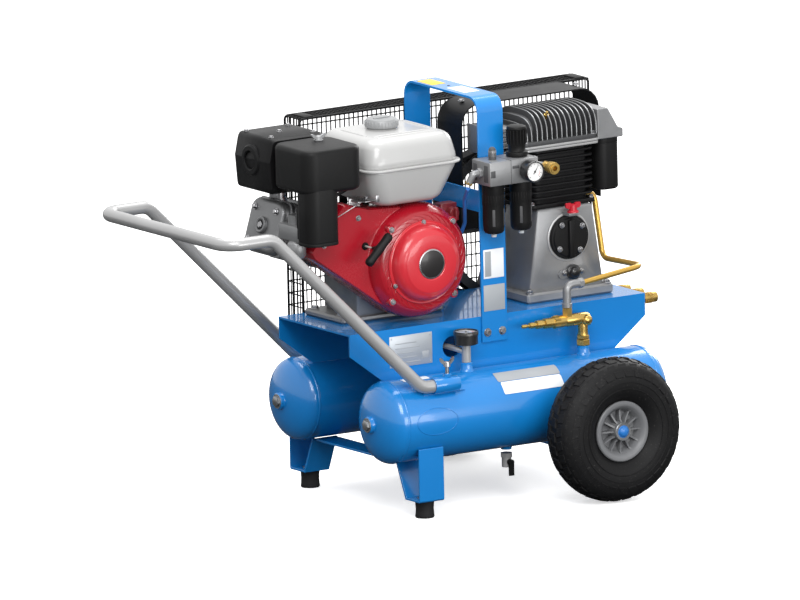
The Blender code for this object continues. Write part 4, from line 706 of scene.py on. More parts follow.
# ---------------------------------------------------------------- engine castings
# A petrol engine with a slanted cylinder: sand-blasted aluminium crankcase bolted to the platform,
# a finned barrel and head leaning towards the handle, and a steel bracket pair for the fuel tank.
ENGINE_X, ENGINE_Z = -0.01, 0.511
TILT = radians(17)
CYLINDER_OUT = Vector((-cos(TILT), 0, sin(TILT)))
CRANK = Vector((ENGINE_X, 0.035, ENGINE_Z))
cast = finish("cast_aluminium", (0.22, 0.223, 0.228), 0.42, 0.75, 0.0, (420.0, 0.22), (26.0, 0.12))
cast_light = finish("cast_aluminium_light", (0.27, 0.273, 0.278), 0.4, 0.55, 0.0, (420.0, 0.2),
                    (26.0, 0.08))
black_paint = finish("black_paint", (0.007, 0.007, 0.0075), 0.42, 0.0, 0.0, (600.0, 0.06), (22.0, 0.1))
black_moulded = finish("black_moulding", (0.007, 0.007, 0.0072), 0.46, 0.0, 0.0, (1300.0, 0.07),
                       (20.0, 0.08))
for dull in (black_paint, black_moulded, rubber, tyre_rubber):
    dull.node_tree.nodes["Principled BSDF"].inputs["Specular IOR Level"].default_value = 0.18
cap_grey = finish("cap_grey", (0.27, 0.275, 0.28), 0.42, 0.2, 0.0, (700.0, 0.05), (20.0, 0.06))

case = reworked("engine_crankcase")
for x in (-0.135, 0.083):
    for y in (0.0, 0.095):
        case.bolt((x, y, 0.396), UP, 0.007, 0.006, True, 1)
for a in range(6):
    angle = radians(60 * a + 20)
    case.bolt((ENGINE_X + 0.038 * cos(angle), 0.115, ENGINE_Z + 0.038 * sin(angle)), REAR, 0.0045,
              0.004, True, 1)
case.turned([(0, 0.021), (0.01, 0.021), (0.012, 0.018), (0.012, 0.006), (0.015, 0.005), (0.015, 0), (0, 0)],
            aimed((0.095, 0.045, 0.42), OUTER), 28, 2)
case.bolt((-0.115, 0.03, 0.415), HANDLE_WAY, 0.008, 0.006, True, 1)
fin = Shape()
fin.block((-0.062, -0.06, 0), (0.062, 0.06, 0.0024), 0.014, 0.0006)
case.take(row_of(fin, 9, (0, 0, 0.0098), cast), aimed(CRANK + CYLINDER_OUT * 0.152, CYLINDER_OUT))
case.done("engine_case", "chassis", (cast, zinc, black_moulded), "cast_aluminium", ("engine_crankcase",),
          0.0006)

head = Shape()
head.block((-0.056, -0.06, 0.0003), (0.056, 0.06, 0.0565), 0.026, 0.01,
           aimed(CRANK + CYLINDER_OUT * 0.245, CYLINDER_OUT), segments=8)
fin = Shape()
fin.block((-0.0585, -0.0625, 0), (0.0585, 0.0625, 0.0022), 0.016, 0.0006)
head.take(row_of(fin, 4, (0, 0, 0.01), cast), aimed(CRANK + CYLINDER_OUT * 0.25, CYLINDER_OUT))
face = CRANK + CYLINDER_OUT * 0.302
upward = Vector((sin(TILT), 0, cos(TILT)))
for u, v in ((0.034, 0.04), (-0.034, 0.04), (0.034, -0.04), (-0.034, -0.04)):
    head.bolt(face + upward * u + Vector((0, v, 0)), CYLINDER_OUT, 0.0055, 0.0055, True, 1)
head.turned([(0.011, 0.0062), (0.015, 0.0072), (0.0172, 0.0062), (0.018, 0), (0.01, 0)],
            aimed(face, CYLINDER_OUT), 40, 0, True)
head.turned([(0, 0.0085), (0.006, 0.0085), (0.008, 0.007), (0.008, 0), (0, 0)],
            aimed(face, CYLINDER_OUT), 6, 1)
head.done("engine_head", "chassis", (cast, zinc), "cast_aluminium", ("cylinder_head",), 0.0006)

brackets = Shape()
for x in (-0.085, 0.025):
    brackets.block((x - 0.01, -0.025, 0.6), (x + 0.01, 0.06, 0.6035), 0.002, 0.0006)
    for y in (-0.023, 0.056):
        brackets.block((x - 0.01, y, 0.602), (x + 0.01, y + 0.003, 0.642), 0.001, 0.0006)
brackets.done("fuel_tank_brackets", "chassis", (black_paint,), "black_enamel")

# ---------------------------------------------------------------- exhaust, air cleaner and carburettor
# A pressed black muffler with a rolled outlet ring sits over the head; beside it a moulded air
# cleaner with a wing nut stands on the carburettor, whose lever is moved by thin zinc rods.


def softened(points, radius, steps=6):
    """A closed outline with every corner rounded."""
    corners = [Vector((u, v, 0)) for u, v in points]
    seam = (corners[0] + corners[-1]) / 2
    return [(p.x, p.y) for p in bent([seam] + corners + [seam], radius, steps)[:-1]]


muffler = Shape()
muffler_side = [(-0.178, 0.672), (-0.178, 0.788), (-0.311, 0.788), (-0.3215, 0.74), (-0.316, 0.672)]
muffler.prism(softened(muffler_side, 0.012), -0.0265, 0.105, "XZ", 0, 0.008)
muffler.turned([(0.019, -0.024), (0.019, 0.006), (0.021, 0.0078), (0.029, 0.0072), (0.0325, 0.004),
                (0.033, -0.01), (0.025, -0.024)], aimed((-0.317, 0.039, 0.737), HANDLE_WAY), 56, 0, True)
muffler.disc(0.0195, -0.026, -0.018, HANDLE_WAY, (-0.317, 0.039, 0.737), 40, 2)
for x, y in ((-0.3, -0.008), (-0.3, 0.086), (-0.198, -0.008), (-0.198, 0.086), (-0.25, 0.039)):
    muffler.bolt((x, y, 0.788), UP, 0.0042, 0.003, True, 1)
muffler.pipe(bent([(-0.25, 0.05, 0.69), (-0.25, 0.05, 0.65), (-0.242, 0.05, 0.63)], 0.012, 6), 0.017, 28, 1)
muffler.done("muffler_box", "chassis", (black_paint, zinc, black_gloss), "black_enamel", ("muffler",))

cleaner = Shape()
cleaner.block((-0.3195, -0.1718, 0.6905), (-0.1785, -0.0305, 0.783), 0.03, 0.01, segments=10)
cleaner.block((-0.314, -0.1716, 0.588), (-0.2365, -0.108, 0.71), 0.024, 0.003, segments=10)
cleaner.block((-0.314, -0.172, 0.582), (-0.236, -0.107, 0.589), 0.024, 0.0014, segments=10)
cleaner.block((-0.301, -0.108, 0.59), (-0.254, -0.096, 0.66), 0.004, 0.001)
cleaner.done("air_cleaner_case", "chassis", (black_moulded,), "black_plastic", ("air_cleaner",))
nut = Shape()
nut_place = (-0.225, -0.07, 0.7833)
nut.turned([(0, 0.01), (0.003, 0.01), (0.0062, 0.008), (0.008, 0.0015), (0.01, 0.001), (0.01, 0), (0, 0)],
           aimed(nut_place), 28)
nut.wings([(0.004, 0.0015), (0.011, 0.004), (0.017, 0.009), (0.018, 0.013), (0.015, 0.0142), (0.009, 0.011),
           (0.004, 0.0085)], 0.003, 0.001, aimed(nut_place))
nut.done("cleaner_wing_nut", "air_cleaner_nut", (cap_grey,), "zinc_steel", ("air_cleaner_nut",))

carburettor = Shape()
carburettor.block((-0.3015, -0.1045, 0.582), (-0.26, -0.027, 0.614), 0.006, 0.002)
carburettor.turned([(0, 0.002), (0.006, 0.002), (0.0165, -0.002), (0.019, -0.006), (0.0185, -0.03),
                    (0.015, -0.036), (0.006, -0.038), (0, -0.038)], aimed((-0.29, -0.08, 0.583)), 40)
carburettor.bolt((-0.29, -0.08, 0.5452), DOWN, 0.005, 0.003, True, 1)
carburettor.disc(0.014, 0, 0.02, UP, (-0.278, -0.056, 0.612), 28)
carburettor.pipe(bent([(-0.27, -0.106, 0.605), (-0.23, -0.112, 0.618), (-0.148, -0.11, 0.65)], 0.02, 5),
                 0.0011, 8, 1)
carburettor.pipe(bent([(-0.27, -0.106, 0.595), (-0.225, -0.104, 0.6), (-0.205, -0.104, 0.64)], 0.012, 5),
                 0.0011, 8, 1)
carburettor.pipe(bent([(-0.26, -0.05, 0.598), (-0.225, -0.05, 0.605), (-0.17, -0.045, 0.656),
                       (-0.13, -0.04, 0.67)], 0.02, 6), 0.0038, 14, 2)
carburettor.done("carburettor_body", "chassis", (cast_light, zinc, rubber), "cast_aluminium",
                 ("carburetor",))

lever = Shape()
PIVOT = Vector((-0.14, -0.112, 0.656))
lever.prism([(u, v) for u, v in arc((0, 0), 0.0075, 0, 180, 8) + [(-0.0042, -0.044), (0.0042, -0.044)]], 0,
            0.0022, "XY", 0, 0.0003, Matrix.Translation(PIVOT))
lever.block((-0.0042, -0.045, 0), (0.0042, -0.043, 0.014), 0.0008, 0.0004, Matrix.Translation(PIVOT))
lever.turned([(0, 0.006), (0.003, 0.006), (0.0045, 0.0045), (0.0045, 0.0022), (0, 0.0022)], aimed(PIVOT), 6)
lever.done("throttle_arm", "throttle_lever", (zinc,), "zinc_steel", ("throttle_lever",))
plate = Shape()
plate.block((-0.15, -0.123, 0.6505), (-0.129, -0.06, 0.653), 0.004, 0.0004)
plate.block((-0.15, -0.063, 0.63), (-0.129, -0.06, 0.653), 0.001, 0.0004)
plate.block((-0.164, -0.118, 0.6505), (-0.15, -0.09, 0.6528), 0.003, 0.0004)
plate.done("throttle_bracket", "chassis", (zinc,), "zinc_steel")

# ---------------------------------------------------------------- fan housing and recoil starter
# Deep-drawn red sheet: a drum round the fan with curved stiffening ribs and a duct to the cylinder,
# a separate flatter starter cover with a plain dark disc, and a black pull grip on its rope.
RED = (0.36, 0.004, 0.014)
red = finish("red_enamel", RED, 0.26, 0.0, 0.6, (320.0, 0.05), (8.0, 0.06))
red_light = finish("red_starter_enamel", (0.56, 0.022, 0.034), 0.3, 0.0, 0.5, (320.0, 0.05), (8.0, 0.05))
badge_dark = finish("badge_dark", (0.02, 0.018, 0.018), 0.32, 0.2, 0.2, (600.0, 0.02), (20.0, 0.05))
fan_axis = aimed((ENGINE_X, 0, ENGINE_Z), FRONT)
shroud = Shape()
shroud.turned([(0.07, 0.125), (0.096, 0.125), (0.1015, 0.1235), (0.105, 0.12), (0.112, 0.111),
               (0.1165, 0.104), (0.119, 0.095), (0.12, 0.085), (0.12, 0.0345), (0.119, 0.033),
               (0.117, 0.033), (0.117, 0.085), (0.113, 0.105), (0.1, 0.12), (0.096, 0.1222),
               (0.07, 0.1222)], fan_axis, 112, 0, True)
duct = [(ENGINE_X - 0.03, 0.6275), (-0.12, 0.631), (-0.185, 0.648), (-0.268, 0.556), (-0.26, 0.542),
        (-0.1, 0.428), (ENGINE_X - 0.05, 0.408)]
duct_edge = softened(duct, 0.009)
shroud.prism(duct_edge, -0.098, -0.034, "XZ", 0, 0.005)
rib = Shape()
rib_curve = [(0.085 + 0.014 * t, 0.3 * t * t) for t in (0, 0.25, 0.5, 0.75, 1.0)]
rib.pipe([(r * cos(w), r * sin(w), 0.1252) for r, w in rib_curve],
         [0.0004, 0.0007, 0.0008, 0.0007, 0.0004], 8)
shroud.take(ring_of(rib, 30, red), fan_axis)
for index in range(4):
    angle = radians(45 + 90 * index)
    place = fan_axis @ Vector((0.106 * cos(angle), 0.106 * sin(angle), 0.119))
    shroud.disc(0.0095, -0.012, 0.003, FRONT, place, 28, 0, 0.0012)
    shroud.bolt(place + Vector((0, -0.003, 0)), FRONT, 0.0048, 0.004, True, 1)
for x, z in ((-0.235, 0.568), (-0.15, 0.615)):
    shroud.bolt((x, -0.098, z), FRONT, 0.0045, 0.004, True, 1)
grip_place = Vector((-0.135, -0.15, 0.555))
shroud.turned([(0.003, -0.004), (0.003, 0.003), (0.0042, 0.0042), (0.007, 0.0035), (0.008, 0.001),
               (0.008, -0.004)], aimed((grip_place.x, -0.098, grip_place.z), FRONT), 28, 2, True)
shroud.block((0.074, -0.0627, 0.571), (0.115, -0.036, 0.611), 0.004, 0.002, skin=3)
switch_red = finish("switch_red", (0.18, 0.012, 0.016), 0.4, 0.0, 0.1, (900.0, 0.05), (20.0, 0.07))
shroud.done("fan_housing", "chassis", (red, zinc, black_moulded, switch_red), "red_enamel", ("fan_shroud",),
            0.0)

cover = Shape()
cover.turned([(0, 0.1552), (0.033, 0.1552), (0.034, 0.156), (0.059, 0.156), (0.0605, 0.1555),
              (0.0615, 0.1545), (0.065, 0.1535), (0.072, 0.149), (0.077, 0.142), (0.08, 0.134),
              (0.0808, 0.129), (0.083, 0.128), (0.085, 0.1285), (0.0862, 0.1275), (0.0862, 0.1256),
              (0, 0.1256)], fan_axis, 112)
cover.turned([(0, 0.1562), (0.0285, 0.1562), (0.03, 0.1556), (0.03, 0.154), (0, 0.154)], fan_axis, 72, 1)
cover.turned([(0.0285, 0.1566), (0.03, 0.1566), (0.0312, 0.1558), (0.0312, 0.1545), (0.0285, 0.1545)],
             fan_axis, 72, 2, True)
for index in range(3):
    angle = radians(90 + 120 * index)
    cover.bolt(fan_axis @ Vector((0.083 * cos(angle), 0.083 * sin(angle), 0.1275)), FRONT, 0.004,
               0.0032, True, 2)
cover.done("starter_cover", "chassis", (red_light, badge_dark, zinc), "red_enamel", ("recoil_cover",))

grip = Shape()
diagonal = Vector((sin(radians(45)), 0, cos(radians(45))))
steps = [-1, -0.97, -0.9, -0.78, -0.4, 0, 0.4, 0.78, 0.9, 0.97, 1]
girth = [0.002, 0.006, 0.0088, 0.0098, 0.0088, 0.01, 0.0088, 0.0098, 0.0088, 0.006, 0.002]
grip.pipe([grip_place + diagonal * 0.041 * s for s in steps], girth, 24)
grip.turned([(0, 0.022), (0.004, 0.022), (0.0055, 0.015), (0.0085, 0.006), (0.0085, 0.0), (0, 0)],
            aimed(grip_place, REAR), 24)
grip.pipe([grip_place + Vector((0, 0.02 + 0.009 * k, 0)) for k in range(11)], 0.002, 12, 1)
rope_white = finish("rope", (0.55, 0.54, 0.5), 0.75, 0.0, 0.0, (1500.0, 0.3), (60.0, 0.15))
grip.done("pull_grip", "starter_grip", (black_moulded, rope_white), "black_plastic", ("starter_grip",))

switch = Shape()
switch_at = aimed((0.098, -0.063, 0.592), FRONT)
switch.turned([(0, 0.017), (0.01, 0.017), (0.0118, 0.015), (0.0124, 0.0), (0, 0)], switch_at, 40)
switch.block((-0.0036, -0.0135, 0.015), (0.0036, 0.0135, 0.0255), 0.003, 0.001, switch_at)
switch.done("stop_switch", "engine_switch", (switch_red,), "red_plastic", ("engine_switch",))

# ---------------------------------------------------------------- fuel tank
# Two deep-drawn halves seamed together by a flat flange, painted off-white, with pressed beads on
# top and a grey bayonet cap.
FUEL_X, FUEL_Y = (-0.156, 0.082), (-0.155, 0.075)
FUEL_FOOT, FUEL_SEAM, FUEL_TOP = 0.636, 0.716, 0.778
FILLER = (-0.038, -0.02)
tank_white = finish("tank_enamel", (0.42, 0.42, 0.415), 0.3, 0.0, 0.35, (320.0, 0.05), (7.0, 0.025))
fuel = Shape()
low, high = (FUEL_X[0] + 0.004, FUEL_Y[0] + 0.004), (FUEL_X[1] - 0.004, FUEL_Y[1] - 0.004)
fuel.block((*low, FUEL_SEAM - 0.004), (*high, FUEL_TOP), 0.034, 0.02, None, (0.88, 0.88), segments=10)
turned_over = Matrix.Translation((0, 0, FUEL_SEAM + 0.004 + FUEL_FOOT)) @ Matrix.Diagonal((1, 1, -1, 1))
fuel.block((*low, FUEL_FOOT), (*high, FUEL_SEAM + 0.004), 0.034, 0.016, turned_over, (0.68, 0.8),
           segments=10)
fuel.block((FUEL_X[0], FUEL_Y[0], FUEL_SEAM - 0.0022), (FUEL_X[1], FUEL_Y[1], FUEL_SEAM + 0.0022), 0.038,
           0.0012, segments=10)
centre_x = sum(FUEL_X) / 2
for y in (-0.095, -0.112):
    fuel.pipe([(centre_x - 0.07 + 0.014 * k, y, FUEL_TOP - 0.0004 - (0.0016 if k in (0, 10) else 0))
               for k in range(11)], 0.0032, 10, flat=0.8)
for x in (centre_x - 0.078, centre_x + 0.078):
    fuel.pipe([(x, -0.08 + 0.012 * k, FUEL_TOP - 0.0004 - (0.0016 if k in (0, 8) else 0))
               for k in range(9)], 0.0032, 10, flat=0.8)
fuel.turned([(0.026, 0.003), (0.0285, 0.003), (0.031, 0.001), (0.035, -0.002), (0.026, -0.002)],
            aimed((*FILLER, FUEL_TOP)), 56, 0, True)
for x, y in ((FUEL_X[0] + 0.007, -0.04), (FUEL_X[1] - 0.007, -0.04)):
    fuel.bolt((x, y, FUEL_SEAM + 0.0022), UP, 0.0045, 0.0035, True, 1)
fuel.done("fuel_tank_shell", "chassis", (tank_white, zinc), "tank_white", ("fuel_tank",))
cap = Shape()
cap_at = aimed((*FILLER, FUEL_TOP + 0.0033))
cap.turned([(0, 0.0175), (0.018, 0.018), (0.025, 0.019), (0.0305, 0.0175), (0.033, 0.014), (0.0345, 0.008),
            (0.035, 0.002), (0.034, 0.0004), (0, 0.0004)], cap_at, 72)
tooth = Shape()
tooth.block((0.031, -0.0014, 0.003), (0.0353, 0.0014, 0.0135), 0.001, 0.0008)
cap.take(ring_of(tooth, 30, cap_grey), cap_at)
cap.block((-0.02, -0.0035, 0.0165), (0.02, 0.0035, 0.0205), 0.003, 0.0012, cap_at)
cap.done("filler_cap", "fuel_cap", (cap_grey,), "satin_paint", ("fuel_cap",))

# ---------------------------------------------------------------- belt drive
# A steel pulley on the engine, a cast five-spoke flywheel on the pump and a rubber belt, all of
# them seen only through the wire guard.
flywheel_paint = finish("flywheel_paint", (0.045, 0.046, 0.048), 0.45, 0.2, 0.0, (420.0, 0.14), (12.0, 0.1))
pulley = reworked("engine_pulley")
pulley.bolt((ENGINE_X, 0.19, ENGINE_Z), REAR, 0.009, 0.0035, True, 1)
pulley.done("engine_pulley_wheel", "engine_shaft", (flywheel_paint, zinc), "dark_cast_aluminium",
            ("engine_pulley",), 0.0006)
PUMP_X, PUMP_Z = 0.375, 0.509
flywheel = reworked("pump_flywheel")
flywheel.bolt((PUMP_X, 0.183, PUMP_Z), REAR, 0.01, 0.006, True, 1)
flywheel.done("flywheel_cast", "pump_shaft", (flywheel_paint, zinc), "dark_cast_aluminium",
              ("pump_flywheel",), 0.001)
reworked("drive_belt").done("drive_belt_band", "chassis", (rubber,), "black_rubber", ("drive_belt",),
                            0.0008)

# ---------------------------------------------------------------- wire guard
# A shallow cage of thin welded black wire with a heavier rim, open towards the engine and the pump,
# with flat clamps at its corners and a pressed strip along its top edge.
GUARD_X, GUARD_Y, GUARD_Z = (-0.133, 0.573), (0.142, 0.1975), (0.34, 0.783)
WIRE, RIM_WIRE, PITCH = 0.00145, 0.0026, 0.0112
guard = Shape()
wire = Shape()
wire.pipe(bent([(0, GUARD_Y[0], GUARD_Z[1]), (0, GUARD_Y[1], GUARD_Z[1]), (0, GUARD_Y[1], GUARD_Z[0]),
                (0, GUARD_Y[0], GUARD_Z[0])], 0.006, 3), WIRE, 6)
uprights = int((GUARD_X[1] - GUARD_X[0]) / PITCH)
guard.take(row_of(wire, uprights + 1, (PITCH, 0, 0), black_paint), Matrix.Translation((GUARD_X[0], 0, 0)))
wire = Shape()
wire.pipe(bent([(GUARD_X[0], GUARD_Y[0], 0), (GUARD_X[0], GUARD_Y[1], 0), (GUARD_X[1], GUARD_Y[1], 0),
                (GUARD_X[1], GUARD_Y[0], 0)], 0.006, 3), WIRE, 6)
guard.take(row_of(wire, 19, (0, 0, (GUARD_Z[1] - GUARD_Z[0]) / 18), black_paint),
           Matrix.Translation((0, 0, GUARD_Z[0])))
for x in GUARD_X:
    wire = Shape()
    wire.pipe([(x, GUARD_Y[0], GUARD_Z[0]), (x, GUARD_Y[0], GUARD_Z[1])], WIRE, 6)
    guard.take(row_of(wire, 5, (0, PITCH, 0), black_paint))
for z in GUARD_Z:
    wire = Shape()
    wire.pipe([(GUARD_X[0], GUARD_Y[0], z), (GUARD_X[1], GUARD_Y[0], z)], WIRE, 6)
    guard.take(row_of(wire, 5, (0, PITCH, 0), black_paint))
for y in GUARD_Y:
    corners = [(GUARD_X[0], y, GUARD_Z[0]), (GUARD_X[1], y, GUARD_Z[0]), (GUARD_X[1], y, GUARD_Z[1]),
               (GUARD_X[0], y, GUARD_Z[1])]
    middle = (sum(GUARD_X) / 2, y, GUARD_Z[0])
    guard.pipe(bent([middle] + corners[1:] + corners[:1] + [middle], 0.008, 5), RIM_WIRE, 10)
for x in (GUARD_X[0] + 0.012, GUARD_X[1] - 0.03):
    guard.block((x, GUARD_Y[0] - 0.001, GUARD_Z[1] - 0.002),
                (x + 0.022, GUARD_Y[1] - 0.01, GUARD_Z[1] + 0.0045), 0.002, 0.0008, skin=1)
for z in (0.43, 0.69):
    guard.block((GUARD_X[1] - 0.002, GUARD_Y[0], z), (GUARD_X[1] + 0.003, GUARD_Y[1] - 0.015, z + 0.022),
                0.001, 0.0008, skin=1)
guard.done("belt_guard_mesh", "chassis", (black_paint, black_moulded), "black_enamel", ("belt_guard",))

# ---------------------------------------------------------------- pump crankcase
# Pale sand-cast aluminium with flanged feet; in front of it a round black bearing cover with a
# bright rim and a thick rib, a red winged filler cap and a black sight glass.
base = reworked("pump_crankcase")
for x in (0.276, 0.464):
    for y in (-0.08, 0.05):
        base.bolt((x, y, 0.403), UP, 0.007, 0.006, True, 1)
base.turned([(0.046, -0.004), (0.046, 0.0022), (0.048, 0.003), (0.0508, 0.0022), (0.052, -0.004)],
            aimed((PUMP_X, -0.075, PUMP_Z), FRONT), 80, 2, True)
for u in (-0.026, 0.026):
    base.bolt((0.383 + u * 0.8, -0.08, 0.435), FRONT, 0.0042, 0.0036, True, 1)
base.done("pump_case", "chassis", (cast_light, zinc, satin_silver), "cast_aluminium", ("pump_crankcase",),
          0.0022)
cover = Shape()
cover_at = aimed((PUMP_X, -0.0753, PUMP_Z), FRONT)
cover.turned([(0, 0.0115), (0.03, 0.012), (0.039, 0.011), (0.041, 0.0085), (0.0445, 0.008),
              (0.0458, 0.0065), (0.046, 0.0), (0, 0)], cover_at, 80)
cover.block((PUMP_X - 0.0065, -0.093, PUMP_Z - 0.042), (PUMP_X + 0.0065, -0.085, PUMP_Z + 0.037), 0.003,
            0.0025)
for index in range(4):
    angle = radians(38 + 90 * index)
    spot = Vector((PUMP_X + 0.035 * cos(angle), -0.086, PUMP_Z + 0.035 * sin(angle)))
    cover.disc(0.0078, -0.004, 0.0012, FRONT, spot, 28, 0, 0.0008)
    cover.bolt(spot + Vector((0, -0.0012, 0)), FRONT, 0.0045, 0.0045, True, 1)
cover.done("bearing_cover", "chassis", (black_moulded, zinc), "black_enamel", ("pump_front_cover",))
cap_red = finish("cap_red", (0.48, 0.012, 0.026), 0.34, 0.0, 0.1, (900.0, 0.05), (20.0, 0.05))
cap = Shape()
cap_at = aimed((PUMP_X, -0.096, 0.5623))
cap.turned([(0, 0.018), (0.006, 0.018), (0.0085, 0.0165), (0.009, 0.005), (0.0115, 0.004), (0.012, 0.003),
            (0.012, 0.0004), (0, 0.0004)], cap_at, 32)
cap.wings([(0.005, 0.008), (0.015, 0.0095), (0.0178, 0.012), (0.018, 0.019), (0.016, 0.0208),
           (0.005, 0.0208)], 0.003, 0.001, cap_at)
cap.done("filler_cap_winged", "oil_filler_cap", (cap_red,), "red_plastic", ("oil_filler_cap",))
glass = Shape()
glass.turned([(0, 0.0155), (0.006, 0.015), (0.01, 0.013), (0.0118, 0.0095), (0.0122, 0.006), (0.015, 0.005),
              (0.016, 0.004), (0.016, 0.0002), (0, 0.0002)], aimed((0.383, -0.0793, 0.435), FRONT), 48)
glass.done("sight_dome", "chassis", (black_gloss,), "smoked_plastic", ("sight_glass",))

# ---------------------------------------------------------------- pump cylinder and head
# A black finned cylinder pair under a bright valve plate, and a domed dark grey head whose tall
# fins carry a painted highlight, a lighter strip along each edge. A finned outlet box is bolted to the
# head's inner end.
block = Shape()
block.block((0.302, -0.06, 0.5723), (0.44, 0.06, 0.6952), 0.02, 0.002, segments=8)
block.block((0.29, -0.07, 0.5723), (0.452, 0.07, 0.5813), 0.014, 0.002, segments=8)
fin = Shape()
fin.block((0.2905, -0.0695, 0), (0.4515, 0.0695, 0.0046), 0.022, 0.0016, segments=8)
block.take(row_of(fin, 8, (0, 0, 0.0131), black_paint), Matrix.Translation((0, 0, 0.5905)))
for x, y in ((0.299, -0.061), (0.443, -0.061), (0.299, 0.061), (0.443, 0.061)):
    block.bolt((x, y, 0.5813), UP, 0.0048, 0.005, True, 1)
block.done("pump_cylinder", "chassis", (black_paint, zinc), "black_enamel", ("cylinder_block",))
plate = Shape()
plate.block((0.272, -0.08, 0.6955), (0.455, 0.08, 0.7003), 0.01, 0.0008, segments=6)
plate.block((0.273, -0.079, 0.7003), (0.454, 0.079, 0.7012), 0.01, 0.0002, skin=1, segments=6)
plate.block((0.272, -0.08, 0.7012), (0.455, 0.08, 0.706), 0.01, 0.0008, segments=6)
plate.done("valve_plate_stack", "chassis", (satin_silver, black_gloss), "cast_aluminium", ("valve_plate",))

HEAD_FOOT, HEAD_TOP = 0.7143, 0.7755
head_grey = finish("head_grey", (0.066, 0.067, 0.07), 0.42, 0.35, 0.0, (420.0, 0.22), (22.0, 0.1))
# painted highlight: the lighter finish of the strips along the fin edges
painted_fin_highlight = finish("painted_fin_highlight", (0.22, 0.223, 0.228), 0.34, 0.8, 0.0, (900.0, 0.05), (40.0, 0.08))


def arch(half, top, foot=HEAD_FOOT, power=0.62, steps=26):
    """A flat-topped arch across the head, from its near foot to its far foot."""
    turns = [pi * k / steps for k in range(steps + 1)]
    return [(-half * (1 if cos(t) > 0 else -1) * abs(cos(t)) ** power,
             foot + (top - foot) * abs(sin(t)) ** power) for t in turns]


pump_head = Shape()
pump_head.block((0.2705, -0.076, 0.7063), (0.454, 0.076, HEAD_FOOT + 0.001), 0.012, 0.001, segments=6)
pump_head.prism(arch(0.06, 0.763), 0.296, 0.452, "YZ", 0, 0.006)
pump_head.prism(arch(0.056, 0.742), 0.274, 0.3, "YZ", 0, 0.006)
fin, strip = Shape(), Shape()
fin.prism(arch(0.0728, HEAD_TOP - 0.0012), 0, 0.003, "YZ", 0, 0)
# a pipe along the fin's edge, in the painted highlight finish
strip.pipe([(0.0015, y, z) for y, z in arch(0.0728, HEAD_TOP - 0.0012)], 0.0015, 8)
pump_head.take(row_of(fin, 13, (0.012, 0, 0), head_grey), Matrix.Translation((0.306, 0, 0)))
pump_head.take(row_of(strip, 13, (0.012, 0, 0), painted_fin_highlight), Matrix.Translation((0.306, 0, 0)), 1)
# the shoulder ribs get the same painted highlight strip along their edges
for index, top in enumerate((0.738, 0.75, 0.762)):
    x = 0.274 + 0.0105 * index
    pump_head.prism(arch(0.069, top), x, x + 0.0028, "YZ", 0, 0)
    pump_head.pipe([(x + 0.0014, y, z) for y, z in arch(0.069, top)], 0.0014, 8, 1)
for x in (0.28, 0.4445):
    for y in (-0.069, 0.069):
        pump_head.bolt((x, y, HEAD_FOOT), UP, 0.005, 0.0055, True, 2)
pump_head.turned([(0, 0.016), (0.0022, 0.016), (0.0034, 0.0145), (0.0034, 0.01), (0.0058, 0.0095),
                  (0.0058, 0.0), (0, 0)], aimed((0.343, -0.05, 0.756), (0, -0.45, 1)), 6, 3)
brass = finish("brass", (0.6, 0.4, 0.115), 0.28, 0.9, 0.0, (500.0, 0.06), (24.0, 0.1))
pump_head.done("pump_head_casting", "chassis", (head_grey, painted_fin_highlight, zinc, brass), "dark_cast_aluminium",
               ("pump_head",))

outlet_box = Shape()
outlet_box.block((0.235, -0.03, 0.7), (0.272, 0.04, 0.74), 0.006, 0.002)
fin = Shape()
fin.block((0.215, -0.042, 0), (0.27, 0.044, 0.0022), 0.006, 0.0007)
outlet_box.take(row_of(fin, 6, (0, 0, 0.0098), cast_light), Matrix.Translation((0, 0, 0.693)))
outlet_box.block((0.211, -0.044, 0.69), (0.216, 0.044, 0.748), 0.003, 0.001)
outlet_box.done("outlet_box_finned", "chassis", (cast_light,), "cast_aluminium")

# ---------------------------------------------------------------- cooling cowl and intake filter
# A folded black sheet leads the flywheel's air over the cylinders, with a raised lip on top, and a
# canister filter with a cast, sloping cap hangs on the outer side.
cowl = reworked("cooling_cowl")
cowl.bolt((0.23, 0.092, 0.785), UP, 0.005, 0.003, True, 1)
cowl.bolt((0.51, 0.092, 0.785), UP, 0.005, 0.003, True, 1)
cowl.done("cowl_sheet", "chassis", (black_paint, zinc), "black_enamel", ("cooling_cowl",), 0.0006)
canister = Shape()
canister.block((0.4645, -0.0615, 0.5905), (0.5185, 0.0415, 0.6983), 0.02, 0.006, segments=10)
canister.block((0.464, -0.062, 0.688), (0.519, 0.042, 0.6985), 0.0205, 0.0006, segments=10)
canister.done("filter_canister", "chassis", (black_moulded,), "black_plastic", ("intake_filter",))
lid = reworked("intake_filter_cap")
lid.block((0.462, -0.063, 0.6995), (0.5215, 0.043, 0.7075), 0.02, 0.001, segments=10)
lid.done("filter_lid", "chassis", (cast_light,), "cast_aluminium", ("intake_filter_cap",), 0.0022)

# ---------------------------------------------------------------- air preparation unit
# A pale die-cast block strapped to the roll bar: two black bowls below, a slotted relief dome and a
# black fluted pressure knob on top, pipe elbows at its ends.
UNIT_Y = -0.174
